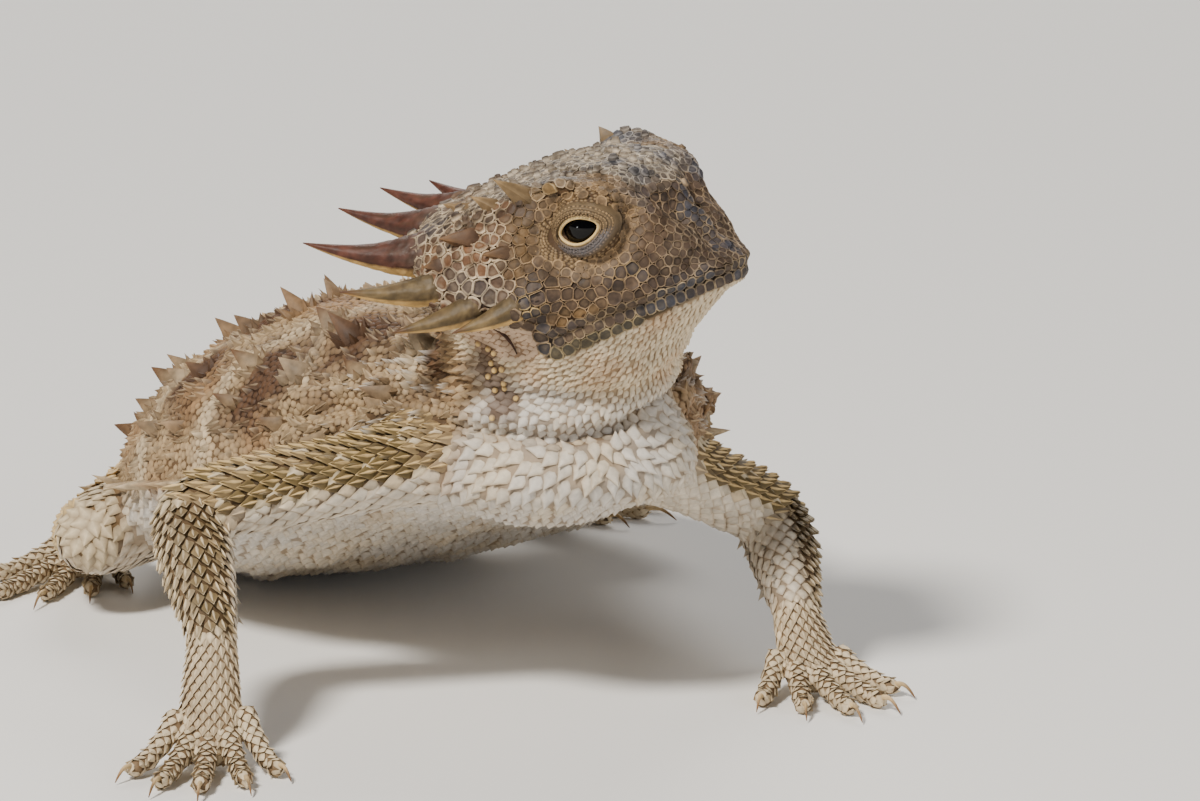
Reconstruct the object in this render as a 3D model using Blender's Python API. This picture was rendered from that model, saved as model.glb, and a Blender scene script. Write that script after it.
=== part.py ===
"""Regal horned lizard, a still model at life size.

The animal faces -Y, its left side is +X and the floor is z = 0. The origin lies on the floor under
the pelvis, where the belly rests. Sizes below are in millimetres and degrees, and become metres when
a mesh is made. Every body part is one closed solid: a row of rings swept along a line, with its
spines fused on, and it keeps a small gap to the part that it grows from.
"""
import math
from functools import partial

import bpy
import bmesh
import numpy as np
from mathutils import Vector
from mathutils.bvhtree import BVHTree

MM = 0.001
GAP = 0.3
FLOOR = 0.0
FLOOR_REACH = 80.0
WELD = 0.005
# How far a pole lies beyond its end ring, as a share of the ring's half width
POLE_REACH = 0.35
SHOULDER_Y = -45.0

# Trunk: distance behind the shoulders, half width, top, widest level and underside
TRUNK = (
    (-9.2, 2.6, 18.8, 17.6, 16.6),
    (-7.6, 6.2, 20.4, 17.4, 15.4),
    (-4.0, 9.0, 23.2, 17.2, 14.4),
    (0.0, 11.2, 25.4, 17.0, 13.8),
    (5.0, 13.8, 26.5, 16.4, 12.6),
    (12.0, 17.4, 27.0, 15.0, 10.2),
    (20.0, 20.4, 26.4, 13.2, 7.0),
    (27.0, 21.4, 24.8, 11.6, 3.8),
    (34.0, 20.2, 22.2, 9.8, 1.4),
    (40.0, 17.2, 19.3, 8.4, 0.0),
    (46.0, 12.8, 16.2, 7.2, -0.7),
    (51.0, 9.2, 12.8, 6.2, -0.5),
    (56.0, 6.4, 9.6, 5.2, 0.3),
    (59.0, 3.6, 7.2, 4.6, 2.0),
)
TRUNK_RINGS = 27
TRUNK_SIDES = 26
TRUNK_UPPER_SQUARENESS = 2.1
TRUNK_LOWER_SQUARENESS = 2.4

# Head, in its own frame: x forward, y to its left, z up, from the middle of the skull
HEAD_CENTRE = (2.4, -48.8, 35.0)
HEAD_YAW = 40.2
HEAD_PITCH = 11.5
HEAD_ROLL = 2.9
SKULL = (
    (-13.4, 2.6, 1.6, -0.4, -2.6),
    (-12.6, 5.0, 2.1, -0.9, -4.4),
    (-11.2, 8.0, 2.9, -1.5, -6.8),
    (-9.0, 10.0, 3.3, -2.2, -9.4),
    (-6.4, 10.7, 3.9, -2.8, -12.0),
    (-3.0, 9.9, 4.5, -3.1, -13.4),
    (0.5, 8.7, 4.8, -3.4, -12.7),
    (3.0, 7.4, 4.2, -3.7, -9.8),
    (5.0, 5.9, 2.9, -3.9, -8.0),
    (7.0, 4.2, 1.1, -4.1, -6.6),
    (8.4, 2.8, -1.1, -4.2, -5.7),
    (9.2, 1.8, -2.7, -4.3, -5.3),
    (9.6, 0.8, -3.7, -4.3, -4.9),
)
SKULL_RINGS = 26
SKULL_SIDES = 28
SKULL_UPPER_SQUARENESS = 2.7
SKULL_LOWER_SQUARENESS = 1.8
BROW_REAR = (-3.3, 7.7, 4.4)
BROW_FRONT = (5.6, 3.9, 2.6)
BROW_HEIGHT = 0.9
BROW_WIDTH = 1.3
BROW_WAY = (0.0, 0.55, 0.83)
LIP_HEIGHT = 0.3
LIP_WIDTH = 0.7

# Mouth line and the rear face of the lower jaw: forward and up, in the head's frame
MOUTH = ((13.0, -4.4), (9.4, -4.4), (6.0, -4.9), (2.0, -5.4), (-1.9, -6.3), (-5.4, -9.0), (-8.0, -18.0),
         (13.0, -18.0))
MOUTH_CORNER = 4
JAW_BLOCK_REACH = 16.0

EYE_CENTRE = (1.5, 5.6, 0.8)
EYE_RADIUS = 2.1
LID_RADIUS = 2.75
LID_OPENING = (1.25, 0.8)
LID_TILT = 8.0
LID_SIDES = 14
LID_ROD = 6.0
LID_FLARE = 1.15
NOSTRIL_CENTRE = (8.3, 1.9, -1.5)
NOSTRIL_RADIUS = 0.42
EAR_CENTRE = (-7.0, 9.6, -7.4)
EAR_SIZE = (1.9, 1.0, 0.7)
EAR_TILT = 40.0

# Horns of the crown: name, root and tip in the head's frame, root radius, upward bend
HORNS = (
    ("horn_occipital_inner", (-10.6, 2.6, 1.3), (-19.0, 3.2, 3.7), 1.55, 0.5),
    ("horn_occipital_outer", (-9.8, 6.2, 0.2), (-18.6, 9.7, 2.7), 1.75, 0.6),
    ("horn_temporal_rear", (-7.6, 8.2, -1.6), (-14.6, 13.1, -0.4), 1.6, 0.5),
    ("horn_temporal_middle", (-4.8, 8.8, -2.8), (-10.8, 13.9, -3.5), 1.45, 0.3),
    ("horn_temporal_front", (-2.2, 8.8, -3.2), (-6.8, 12.9, -4.2), 1.3, 0.2),
)
HORN_RINGS = 5
HORN_SIDES = 7
HORN_FLATTENING = 0.82
HORN_TAPER = 1.25
HORN_TIP_RADIUS = 0.06

# Neck: a short collar from the shoulders up into the back of the head
NECK = (
    ((0.0, -42.5, 17.0), 8.6, 9.0, 8.2),
    ((-0.6, -44.6, 21.5), 7.8, 8.8, 7.6),
    ((-1.0, -45.6, 25.5), 7.4, 8.2, 6.8),
    ((-1.6, -45.0, 30.0), 7.4, 6.6, 5.6),
)
NECK_RINGS = 8
NECK_SIDES = 18

# Tail: place, half width, height above and below its line
TAIL = (
    ((0.0, 9.0, 4.6), 5.6, 3.9, 4.5),
    ((0.4, 15.0, 3.9), 5.2, 3.4, 4.2),
    ((2.4, 24.0, 3.0), 4.1, 2.6, 3.4),
    ((6.2, 33.0, 2.1), 2.8, 1.8, 2.4),
    ((10.8, 40.5, 1.3), 1.7, 1.1, 1.6),
    ((13.4, 44.0, 0.9), 0.9, 0.7, 1.0),
)
TAIL_RINGS = 16
TAIL_SIDES = 12

# Limbs, by side: joints and the way that each hand and foot points
ARM_JOINTS = {
    "right": ((-6.0, -45.6, 18.8), (-25.6, -39.8, 15.2), (-26.9, -48.2, 8.5)),
    "left": ((5.6, -46.2, 17.6), (20.2, -38.0, 9.8), (17.4, -47.4, 5.6)),
}
LEG_JOINTS = {
    "right": ((-5.0, 1.4, 7.8), (-22.6, -11.2, 6.2), (-16.4, 4.2, 3.3)),
    "left": ((5.0, 1.4, 7.8), (23.6, -8.6, 6.4), (18.2, 8.2, 3.3)),
}
HAND_TURN = {"right": 26.0, "left": -3.0}
FOOT_TURN = {"right": 42.0, "left": 50.0}
UPPER_ARM = ((0.0, 3.4, 3.4), (0.45, 2.9, 2.9), (0.85, 2.7, 2.6), (1.0, 2.5, 2.4))
FOREARM = ((0.0, 2.5, 2.4), (0.3, 2.7, 2.6), (0.75, 2.2, 2.1), (1.0, 1.9, 1.7))
THIGH = ((0.0, 4.6, 4.6), (0.45, 4.4, 4.2), (0.85, 3.6, 3.5), (1.0, 3.0, 3.0))
SHANK = ((0.0, 2.8, 2.9), (0.3, 2.9, 2.8), (0.75, 2.1, 1.9), (1.0, 1.7, 1.6))
LIMB_RINGS = 5
LIMB_SIDES = 10
# The rounded end of a limb: how far beyond the joint, and how wide, as shares of its half width
LIMB_DOME = ((0.75, 0.45), (0.4, 0.85))

# Digits from the inner to the outer: turn from the paw's line, length, how far up the palm each starts
FINGERS = ((-36.0, 3.8, 2.6), (-17.0, 5.2, 3.6), (0.0, 6.0, 4.2), (16.0, 5.6, 3.8), (35.0, 4.2, 2.8))
TOES = ((-36.0, 3.8, 3.6), (-19.0, 5.6, 4.6), (-3.0, 7.4, 5.2), (13.0, 8.8, 5.0), (33.0, 5.4, 3.0))
PALM_LENGTH = {"hand": 4.6, "foot": 5.8}
PALM_HALF_WIDTH = 2.3
PALM_THICKNESS = 2.2
WRIST_RADIUS = 1.7
KNUCKLE_HEIGHT = 1.25
PALM_SIDES = 10
DIGIT_SIDES = 6
DIGIT_SPREAD = 1.05
# A digit and its claw: share of the whole length and radius, with a step where the claw leaves the skin
DIGIT_SHAPE = ((0.0, 0.86), (0.35, 0.78), (0.66, 0.7), (0.72, 0.46), (0.86, 0.33), (1.0, 0.08))
CLAW_LENGTH = 2.3
CLAW_START = 0.69
PAD_HEIGHT = 0.6
CLAW_ARCH = 0.5
CLAW_TIP_HEIGHT = 0.16

# Spines of the back in rows: turn up from the widest level, spacing, height and root radius
BACK_ROWS = ((76.0, 5.0, 1.7, 0.85), (58.0, 5.0, 2.2, 1.05), (40.0, 5.0, 2.0, 1.0), (22.0, 4.6, 1.7, 0.85))
BACK_SPAN = (1.0, 54.0)
BACK_LEAN = 2.0
FRINGE_SPAN = (3.0, 52.0)
FRINGE_SPACING = 2.2
FRINGE_LENGTH = 2.7
FRINGE_RADIUS = 0.94
TAIL_FRINGE = 10
TAIL_FRINGE_LENGTH = 1.9
TAIL_SPINE_SPAN = (0.16, 0.86)
TAIL_BACK = 7
TAIL_BACK_LENGTH = 1.5
FRINGE_LEAN = 0.9
TAIL_LEAN = 1.2
LIMB_LEAN = 2.6
SPINE_SINK = 0.55
SPINE_SPREAD = 0.22
SPINE_MARGIN = 0.15
# How far up a spine its waist lies, and how wide it is there
SPINE_WAIST = (0.45, 0.66)
SEED = 11
# Rows of pointed scales on each length of a limb: turns about it, how many in a row and their length
LIMB_SPINES = {
    "upper_arm": ((50.0, 90.0, 130.0), 5, 1.4),
    "forearm": ((0.0, 50.0, 180.0), 4, 1.4),
    "thigh": ((60.0, 100.0, 140.0), 4, 1.5),
    "shank": ((0.0, 90.0, 180.0), 4, 1.3),
}
LIMB_SPINE_SPAN = (0.2, 0.92)

# Head spines and plates: place and tip in the head's frame, root radius
HEAD_SPINES = (
    ((-1.7, 7.2, 4.1), (-3.4, 8.4, 5.3), 1.0),
    ((-5.2, 7.0, 3.4), (-6.2, 7.6, 4.3), 0.8),
    ((-8.0, 5.6, 2.9), (-9.0, 6.1, 3.7), 0.8),
    ((-6.4, 8.9, 1.3), (-7.9, 10.4, 2.0), 1.0),
    ((-3.8, 9.4, 0.2), (-4.7, 10.6, 0.5), 0.7),
    ((-8.6, 8.9, -0.4), (-9.9, 10.0, 0.1), 0.75),
    ((-4.6, 10.0, -4.7), (-5.9, 11.3, -5.5), 0.8),
    ((-9.6, 3.8, 2.7), (-10.5, 4.0, 3.4), 0.65),
)
CHIN_PLATES = 8
CHIN_PLATE_RADIUS = 0.8
CHIN_PLATE_HEIGHT = 0.5
CHIN_PLATE_SPAN = (-1.6, 7.6)
CHIN_PLATE_DROP = 1.35
# Spines of the neck fold: turn about the neck from its left side, share of its height, length
NECK_SPINE_RADIUS = 0.6
NECK_SPINES = ((-14.0, 0.62, 2.0), (6.0, 0.58, 2.4), (24.0, 0.64, 2.0), (-34.0, 0.66, 1.5))

SKIN_COLOURS = {
    "back": (0.45, 0.32, 0.19),
    "belly": (0.72, 0.63, 0.50),
    "head": (0.33, 0.25, 0.17),
    "jaw": (0.68, 0.60, 0.47),
    "limb": (0.50, 0.38, 0.22),
    "horn": (0.28, 0.12, 0.06),
    "eye": (0.01, 0.01, 0.012),
}


def smooth(rows, places, loose=False):
    """Values at the given places on a smooth line through rows of (place, value, ...).

    Between two rows the line is a cubic. Its slope at a row is the harmonic mean of the slopes beside
    it, so the line never swings past a row's value, or their plain mean for a loose line.
    """
    rows = np.asarray(rows, dtype=float)
    knots = rows[:, 0]
    values = rows[:, 1:]
    steps = np.diff(knots)[:, None]
    slopes = np.diff(values, axis=0) / steps
    before = slopes[:-1]
    after = slopes[1:]
    if loose:
        inner = (before + after) / 2
    else:
        same_way = before * after > 0
        total = np.where(same_way, before + after, 1.0)
        inner = np.where(same_way, 2 * before * after / total, 0.0)
    tangents = np.vstack([slopes[:1], inner, slopes[-1:]])
    places = np.asarray(places, dtype=float)
    span = np.clip(np.searchsorted(knots, places) - 1, 0, len(knots) - 2)
    width = steps[span]
    u = ((places - knots[span]) / width[:, 0])[:, None]
    return (
        (2 * u**3 - 3 * u**2 + 1) * values[span]
        + (u**3 - 2 * u**2 + u) * width * tangents[span]
        + (3 * u**2 - 2 * u**3) * values[span + 1]
        + (u**3 - u**2) * width * tangents[span + 1]
    )


def unit(vectors):
    """The same directions with length one."""
    vectors = np.asarray(vectors, dtype=float)
    return vectors / np.linalg.norm(vectors, axis=-1, keepdims=True)


def frames(centres, up_hint):
    """Side and up directions square to a line of points, with up as near the hint as it can be."""
    along = unit(np.gradient(centres, axis=0))
    side = unit(np.cross(along, np.broadcast_to(up_hint, along.shape)))
    return side, np.cross(side, along)


def ring_points(centres, side, up, half_width, rise, drop, upper_power, lower_power, sides):
    """Rings of superellipse shape: half width each way, rise above and drop below each centre."""
    angle = 2 * math.pi * np.arange(sides) / sides
    across = np.cos(angle)
    height = np.sin(angle)
    power = np.where(height >= 0, 2 / upper_power, 2 / lower_power)
    reach = np.where(height >= 0, rise[:, None], drop[:, None])
    wide = half_width[:, None] * np.sign(across) * np.abs(across) ** power
    tall = reach * np.sign(height) * np.abs(height) ** power
    return centres[:, None] + side[:, None] * wide[..., None] + up[:, None] * tall[..., None]


def skin_of(rings, first_pole, last_pole):
    """Points and faces of a closed skin over rings of points, with a pole beyond each end ring."""
    count, sides = rings.shape[:2]
    points = np.vstack([rings.reshape(-1, 3), [first_pole], [last_pole]])
    near = np.arange(sides)
    far = (near + 1) % sides
    faces = []
    for ring in range(count - 1):
        low = ring * sides
        high = low + sides
        faces += [(low + a, low + b, high + b, high + a) for a, b in zip(near, far)]
    end = (count - 1) * sides
    faces += [(count * sides, b, a) for a, b in zip(near, far)]
    faces += [(count * sides + 1, end + a, end + b) for a, b in zip(near, far)]
    return points, faces


def make_material(name, colour, roughness=0.6):
    """A plain Principled material."""
    material = bpy.data.materials.new(name)
    material.use_nodes = True
    shader = material.node_tree.nodes["Principled BSDF"]
    shader.inputs["Base Color"].default_value = (*colour, 1.0)
    shader.inputs["Roughness"].default_value = roughness
    shader.inputs["Metallic"].default_value = 0.0
    return material


def make_solid(name, points, faces):
    """A mesh object from points in millimetres, with its faces turned outwards."""
    mesh = bpy.data.meshes.new(name)
    corners = [tuple(int(corner) for corner in face) for face in faces]
    mesh.from_pydata((np.asarray(points) * MM).tolist(), [], corners)
    shape = bmesh.new()
    shape.from_mesh(mesh)
    bmesh.ops.triangulate(shape, faces=shape.faces[:])
    bmesh.ops.recalc_face_normals(shape, faces=shape.faces[:])
    if shape.calc_volume(signed=True) < 0:
        bmesh.ops.reverse_faces(shape, faces=shape.faces[:])
    shape.to_mesh(mesh)
    shape.free()
    solid = bpy.data.objects.new(name, mesh)
    bpy.context.scene.collection.objects.link(solid)
    return solid


def remove(solid):
    """Takes an object and its mesh out of the file."""
    mesh = solid.data
    bpy.data.objects.remove(solid)
    bpy.data.meshes.remove(mesh)


def combine(solid, others, operation):
    """Joins, cuts or intersects a solid with others in one exact Boolean, and keeps its largest body."""
    group = bpy.data.collections.new("combine")
    bpy.context.scene.collection.children.link(group)
    for other in others:
        group.objects.link(other)
    change = solid.modifiers.new("combine", "BOOLEAN")
    change.operation = operation
    change.operand_type = "COLLECTION"
    change.collection = group
    change.solver = "EXACT"
    change.use_self = len(others) > 1
    graph = bpy.context.evaluated_depsgraph_get()
    result = bpy.data.meshes.new_from_object(solid.evaluated_get(graph))
    solid.modifiers.remove(change)
    before = solid.data
    solid.data = result
    result.name = solid.name
    bpy.data.meshes.remove(before)
    bpy.data.collections.remove(group)
    for other in others:
        remove(other)
    tidy(solid)


def tidy(solid):
    """Welds points that coincide, drops slivers and keeps the largest closed surface."""
    shape = bmesh.new()
    shape.from_mesh(solid.data)
    bmesh.ops.remove_doubles(shape, verts=shape.verts[:], dist=WELD * MM)
    bmesh.ops.dissolve_degenerate(shape, dist=WELD * MM, edges=shape.edges[:])
    bmesh.ops.triangulate(shape, faces=shape.faces[:])
    unseen = set(shape.faces)
    bodies = []
    while unseen:
        body = set()
        queue = [unseen.pop()]
        while queue:
            face = queue.pop()
            body.add(face)
            for edge in face.edges:
                for other in edge.link_faces:
                    if other in unseen:
                        unseen.remove(other)
                        queue.append(other)
        bodies.append(body)
    largest = max(bodies, key=lambda body: abs(sum(spike_volume(face) for face in body)))
    loose = [face for body in bodies if body is not largest for face in body]
    bmesh.ops.delete(shape, geom=loose, context="FACES")
    stray = [vert for vert in shape.verts if not vert.link_faces]
    bmesh.ops.delete(shape, geom=stray, context="VERTS")
    shape.to_mesh(solid.data)
    shape.free()


def spike_volume(face):
    """Signed volume between a triangle and the origin."""
    a, b, c = (vert.co for vert in face.verts[:3])
    return a.dot(b.cross(c)) / 6


def grown(solid, distance=GAP):
    """A copy of a solid whose points move out along their normals."""
    copy = bpy.data.objects.new(solid.name + "_grown", solid.data.copy())
    bpy.context.scene.collection.objects.link(copy)
    shape = bmesh.new()
    shape.from_mesh(copy.data)
    shape.normal_update()
    moved = [(vert, vert.co + vert.normal * distance * MM) for vert in shape.verts]
    for vert, place in moved:
        vert.co = place
    shape.to_mesh(copy.data)
    shape.free()
    return copy


def cut_clear(solid, neighbours):
    """Trims a solid so that it keeps the gap to each of its neighbours."""
    combine(solid, [grown(neighbour) for neighbour in neighbours], "DIFFERENCE")


def finish(solid, colour, roughness=0.6):
    """Smooth shading and the material of a finished body part."""
    solid.data.materials.clear()
    solid.data.materials.append(make_material(solid.name, SKIN_COLOURS[colour], roughness))
    solid.data.shade_smooth()
    solid.data.set_sharp_from_angle(angle=math.radians(40))


def swept(name, centres, up_hint, half_width, rise, drop, sides, powers=(2.0, 2.0), on_floor=False):
    """A closed solid of rings along a line, with poles a little beyond its end rings."""
    side, up = frames(centres, np.asarray(up_hint, dtype=float))
    rings = ring_points(centres, side, up, half_width, rise, drop, *powers, sides)
    first = centres[0] - unit(centres[1] - centres[0]) * half_width[0] * POLE_REACH
    last = centres[-1] + unit(centres[-1] - centres[-2]) * half_width[-1] * POLE_REACH
    if on_floor:
        rings[..., 2] = np.maximum(rings[..., 2], FLOOR)
    return make_solid(name, *skin_of(rings, first, last))


def surface_of(solid):
    """A solid's surface, ready for rays and for distances."""
    mesh = solid.data
    points = [vert.co[:] for vert in mesh.vertices]
    return BVHTree.FromPolygons(points, [face.vertices[:] for face in mesh.polygons])


def make_spine(root, tip, radius, under_way, thickness=0.8, sides=3):
    """A spine: a cone of few sides from under the skin to its tip, with a full waist half way up.

    With three sides it has a keel along its outer face, away from the given way, and is thinner from
    keel to underside than it is wide, by the given share.
    """
    run = unit(tip - root)
    across = unit(np.cross(run, under_way))
    under = np.cross(across, run)
    reach = np.linalg.norm(tip - root)
    levels = ((-SPINE_SINK, 1.0), (reach * SPINE_WAIST[0], SPINE_WAIST[1]))
    turns = 2 * math.pi * np.arange(sides) / sides - math.pi / 2
    corners = [(math.cos(turn), math.sin(turn)) for turn in turns]
    outline = np.array([across * a + under * b * thickness for a, b in corners])
    rings = np.array([root + run * level + radius * share * outline for level, share in levels])
    return make_solid("spine", *skin_of(rings, root - run * SPINE_SINK, tip))


def plant(spines, bed, others, start, way, lean, reach, radius, under_way, thickness=0.8):
    """Sets one spine where a ray from inside a solid leaves its surface, if it clears every neighbour."""
    hit, normal, _, _ = bed.ray_cast(Vector(start) * MM, Vector(way))
    if hit is None:
        return
    root = np.array(hit) / MM
    run = unit(unit(way) + np.array(normal) + np.asarray(lean))
    tip = root + run * reach
    if tip[2] < FLOOR + GAP or root[2] < FLOOR + radius:
        return
    for share in (0.0, 0.5, 1.0):
        place = Vector((root + run * reach * share) * MM)
        room = (radius * (1 - share) + GAP + SPINE_MARGIN) * MM
        if any(other.find_nearest(place, room)[0] is not None for other in others):
            return
    spines.append(make_spine(root, tip, radius, np.asarray(under_way, dtype=float), thickness))


def end_spacing(count, ends=0.12):
    """Places from 0 to 1 that draw closer towards both ends."""
    even = np.linspace(0, 1, count)
    return even * (1 - ends) + ends * (1 - np.cos(even * math.pi)) / 2


def make_trunk():
    """Chest, flanks, back and belly: a flattened oval body with flat flanks that rests at the rear."""
    first = TRUNK[0][0]
    last = TRUNK[-1][0]
    places = first + (last - first) * end_spacing(TRUNK_RINGS)
    half_width, top, widest, under = smooth(TRUNK, places).T
    centres = np.stack([np.zeros_like(places), places + SHOULDER_Y, widest], axis=1)
    side = np.broadcast_to((1.0, 0.0, 0.0), centres.shape)
    up = np.broadcast_to((0.0, 0.0, 1.0), centres.shape)
    rings = ring_points(centres, side, up, half_width, top - widest, widest - under,
                        TRUNK_UPPER_SQUARENESS, TRUNK_LOWER_SQUARENESS, TRUNK_SIDES)
    rings[..., 2] = np.maximum(rings[..., 2], FLOOR)
    front = centres[0] - (0, 0.5, 0)
    back = centres[-1] + (0, 0.8, 0)
    return make_solid("torso", *skin_of(rings, front, back))


def head_axes():
    """Forward, left and up directions of the turned, raised and tilted head."""
    yaw, pitch, roll = (math.radians(angle) for angle in (HEAD_YAW, HEAD_PITCH, HEAD_ROLL))
    forward = np.array([math.sin(yaw) * math.cos(pitch), -math.cos(yaw) * math.cos(pitch), math.sin(pitch)])
    level = np.array([math.cos(yaw), math.sin(yaw), 0.0])
    above = np.cross(forward, level)
    left = math.cos(roll) * level + math.sin(roll) * above
    return np.stack([forward, left, np.cross(forward, left)])


def from_head(points):
    """Places in the head's frame as places in the model."""
    return np.asarray(points, dtype=float) @ head_axes() + np.asarray(HEAD_CENTRE)


def mirrored(point, side):
    """A place in the head's frame on its left, or the same on its right."""
    sign = 1 if side == "left" else -1
    return np.array([point[0], point[1] * sign, point[2]])


def segment_distance(points, start, end):
    """Distance of points from a straight line between two ends."""
    start = np.asarray(start, dtype=float)
    run = np.asarray(end, dtype=float) - start
    share = np.clip(((points - start) @ run) / (run @ run), 0, 1)
    return np.linalg.norm(points - start - share[..., None] * run, axis=-1)


def mouth_height(forward):
    """Height of the mouth line at places forward of its corner."""
    line = MOUTH[MOUTH_CORNER:0:-1]
    return np.interp(forward, [place[0] for place in line], [place[1] for place in line])


def head_relief(points):
    """The skull's skin with its brow ridges and lips raised.

    Each ridge lifts a point by its height times a bell curve of the distance from the ridge's line.
    """
    folded = points * (1, 0, 1) + np.abs(points) * (0, 1, 0)
    brow = np.exp(-(segment_distance(folded, BROW_REAR, BROW_FRONT) / BROW_WIDTH) ** 2)
    before_corner = points[..., 0] > MOUTH[MOUTH_CORNER][0]
    lip = np.exp(-((points[..., 2] - mouth_height(points[..., 0])) / LIP_WIDTH) ** 2) * before_corner
    outward = unit(folded * (0.15, 1.0, 0.0) + (0.0, 0.3, 0.0))
    raised = folded + brow[..., None] * BROW_HEIGHT * unit(BROW_WAY) + lip[..., None] * LIP_HEIGHT * outward
    side = np.where(points[..., 1] < 0, -1.0, 1.0)
    raised[..., 1] = np.where(np.abs(points[..., 1]) < 0.05, 0.0, raised[..., 1]) * side
    return raised


def make_skull():
    """The whole head, jaw and throat as one smooth solid before the mouth is cut."""
    first = SKULL[0][0]
    last = SKULL[-1][0]
    places = first + (last - first) * end_spacing(SKULL_RINGS, 0.5)
    half_width, top, widest, under = smooth(SKULL, places).T
    centres = np.stack([places, np.zeros_like(places), widest], axis=1)
    side = np.broadcast_to((0.0, 1.0, 0.0), centres.shape)
    up = np.broadcast_to((0.0, 0.0, 1.0), centres.shape)
    rings = ring_points(centres, side, up, half_width, top - widest, widest - under,
                        SKULL_UPPER_SQUARENESS, SKULL_LOWER_SQUARENESS, SKULL_SIDES)
    rings = head_relief(rings)
    back = centres[0] - (0.4, 0, 0)
    tip = centres[-1] + (0.15, 0, 0)
    points, faces = skin_of(rings, back, tip)
    return make_solid("head", from_head(points), faces)


def jaw_prism(name, clearance):
    """A block below the mouth line and before the rear of the jaw, grown by a clearance."""
    outline = np.array(MOUTH)
    outline[:-1, 1] += clearance
    outline[MOUTH_CORNER:-1, 0] -= clearance
    count = len(outline)
    points = [(x, side, z) for side in (-JAW_BLOCK_REACH, JAW_BLOCK_REACH) for x, z in outline]
    faces = [tuple(range(count)), tuple(range(2 * count - 1, count - 1, -1))]
    faces += [(i, (i + 1) % count, (i + 1) % count + count, i + count) for i in range(count)]
    return make_solid(name, from_head(points), faces)


def make_ball(name, centre, size, tilt=0.0, rings=8, sides=12):
    """An ellipsoid in the head's frame, with its poles to the sides and tilted about the cross axis."""
    angle = math.pi * (np.arange(rings) + 1) / (rings + 1)
    turn = 2 * math.pi * np.arange(sides) / sides
    x = np.sin(angle)[:, None] * np.cos(turn) * size[0]
    z = np.sin(angle)[:, None] * np.sin(turn) * size[2]
    y = np.broadcast_to(np.cos(angle)[:, None] * size[1], x.shape)
    lean = math.radians(tilt)
    forward = x * math.cos(lean) - z * math.sin(lean)
    height = x * math.sin(lean) + z * math.cos(lean)
    ball = np.stack([forward, y, height], axis=-1)
    pole = np.array([0.0, size[1], 0.0])
    points, faces = skin_of(ball + centre, centre + pole, centre - pole)
    return make_solid(name, from_head(points), faces)


def make_lid_opening(side):
    """An upright almond-shaped rod out of the eye, which opens the lids."""
    centre = mirrored(EYE_CENTRE, side)
    outward = 1 if side == "left" else -1
    turn = 2 * math.pi * np.arange(LID_SIDES) / LID_SIDES
    lean = math.radians(LID_TILT)
    x = LID_OPENING[0] * np.cos(turn)
    z = LID_OPENING[1] * np.sin(turn)
    forward = x * math.cos(lean) - z * math.sin(lean)
    height = x * math.sin(lean) + z * math.cos(lean)
    oval = np.stack([forward, np.zeros(LID_SIDES), height], axis=1)
    end = centre + (0, outward * LID_ROD, 0)
    points, faces = skin_of(np.stack([centre + oval, end + oval * LID_FLARE]), centre, end)
    return make_solid("lid_opening", from_head(points), faces)


def make_horn(name, side, root, tip, radius, bend):
    """A horn: a cone from inside the skull to its tip that bends upwards, a little flattened."""
    root = mirrored(root, side)
    tip = mirrored(tip, side)
    share = np.linspace(0, 1, HORN_RINGS)
    line = root + (tip - root) * share[:, None]
    line[:, 2] -= bend * np.sin(math.pi * share)
    width = radius * (1 - share**HORN_TAPER) + HORN_TIP_RADIUS
    tall = width * HORN_FLATTENING
    return swept(f"{name}_{side}", from_head(line), head_axes()[2], width, tall, tall, HORN_SIDES)


def make_line(name, rows, count, sides, up_hint, powers=(2.0, 2.0), on_floor=False):
    """A solid along rows of (place, half width, rise, drop), the places joined by a smooth line."""
    knots = np.linspace(0, 1, len(rows))
    table = [(knot, *place, *sizes) for knot, (place, *sizes) in zip(knots, rows)]
    x, y, z, wide, rise, drop = smooth(table, end_spacing(count, 0.3), loose=True).T
    return swept(name, np.stack([x, y, z], axis=1), up_hint, wide, rise, drop, sides, powers, on_floor)


def make_limb(name, start, end, profile):
    """One length of a limb between two joints: rows of (share, half width, half height), rounded ends."""
    share = end_spacing(LIMB_RINGS, 0.6)
    wide, tall = smooth(profile, share).T
    start = np.asarray(start, dtype=float)
    end = np.asarray(end, dtype=float)
    run = unit(end - start)
    line = start + (end - start) * share[:, None]
    reach, dome = np.array(LIMB_DOME).T
    centres = np.vstack([line[0] - run * wide[0] * reach[:, None], line,
                         line[-1] + run * wide[-1] * reach[::-1, None]])
    wide = np.concatenate([wide[0] * dome, wide, wide[-1] * dome[::-1]])
    tall = np.concatenate([tall[0] * dome, tall, tall[-1] * dome[::-1]])
    return swept(name, centres, (0.0, 0.05, 1.0), wide, tall, tall, LIMB_SIDES)


def heading(side, turn):
    """Level direction at a turn outwards from straight ahead, and the level direction to its outer side."""
    sign = 1 if side == "left" else -1
    angle = math.radians(turn)
    ahead = np.array([sign * math.sin(angle), -math.cos(angle), 0.0])
    outer = np.array([sign * math.cos(angle), math.sin(angle), 0.0])
    return ahead, outer


def make_digit(kind, start, ahead, length):
    """A finger or toe that comes down from the palm to the floor and ends in a claw that curves down.

    Its height falls as the cube of what is left of its length, to the height where its pad just
    flattens on the floor, and the claw rises a little before its tip drops to the floor.
    """
    share, radius = np.array(DIGIT_SHAPE).T
    line = start + ahead * (length + CLAW_LENGTH) * share[:, None]
    line[:, 2] = PAD_HEIGHT + (start[2] - PAD_HEIGHT) * (1 - share) ** 3
    claw = np.clip((share - CLAW_START) / (1 - CLAW_START), 0, 1)
    line[:, 2] += CLAW_ARCH * np.sin(math.pi * claw) - (PAD_HEIGHT - CLAW_TIP_HEIGHT) * claw**2
    return swept(kind + "_digit", line, (0.0, 0.0, 1.0), radius, radius, radius, DIGIT_SIDES)


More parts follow.
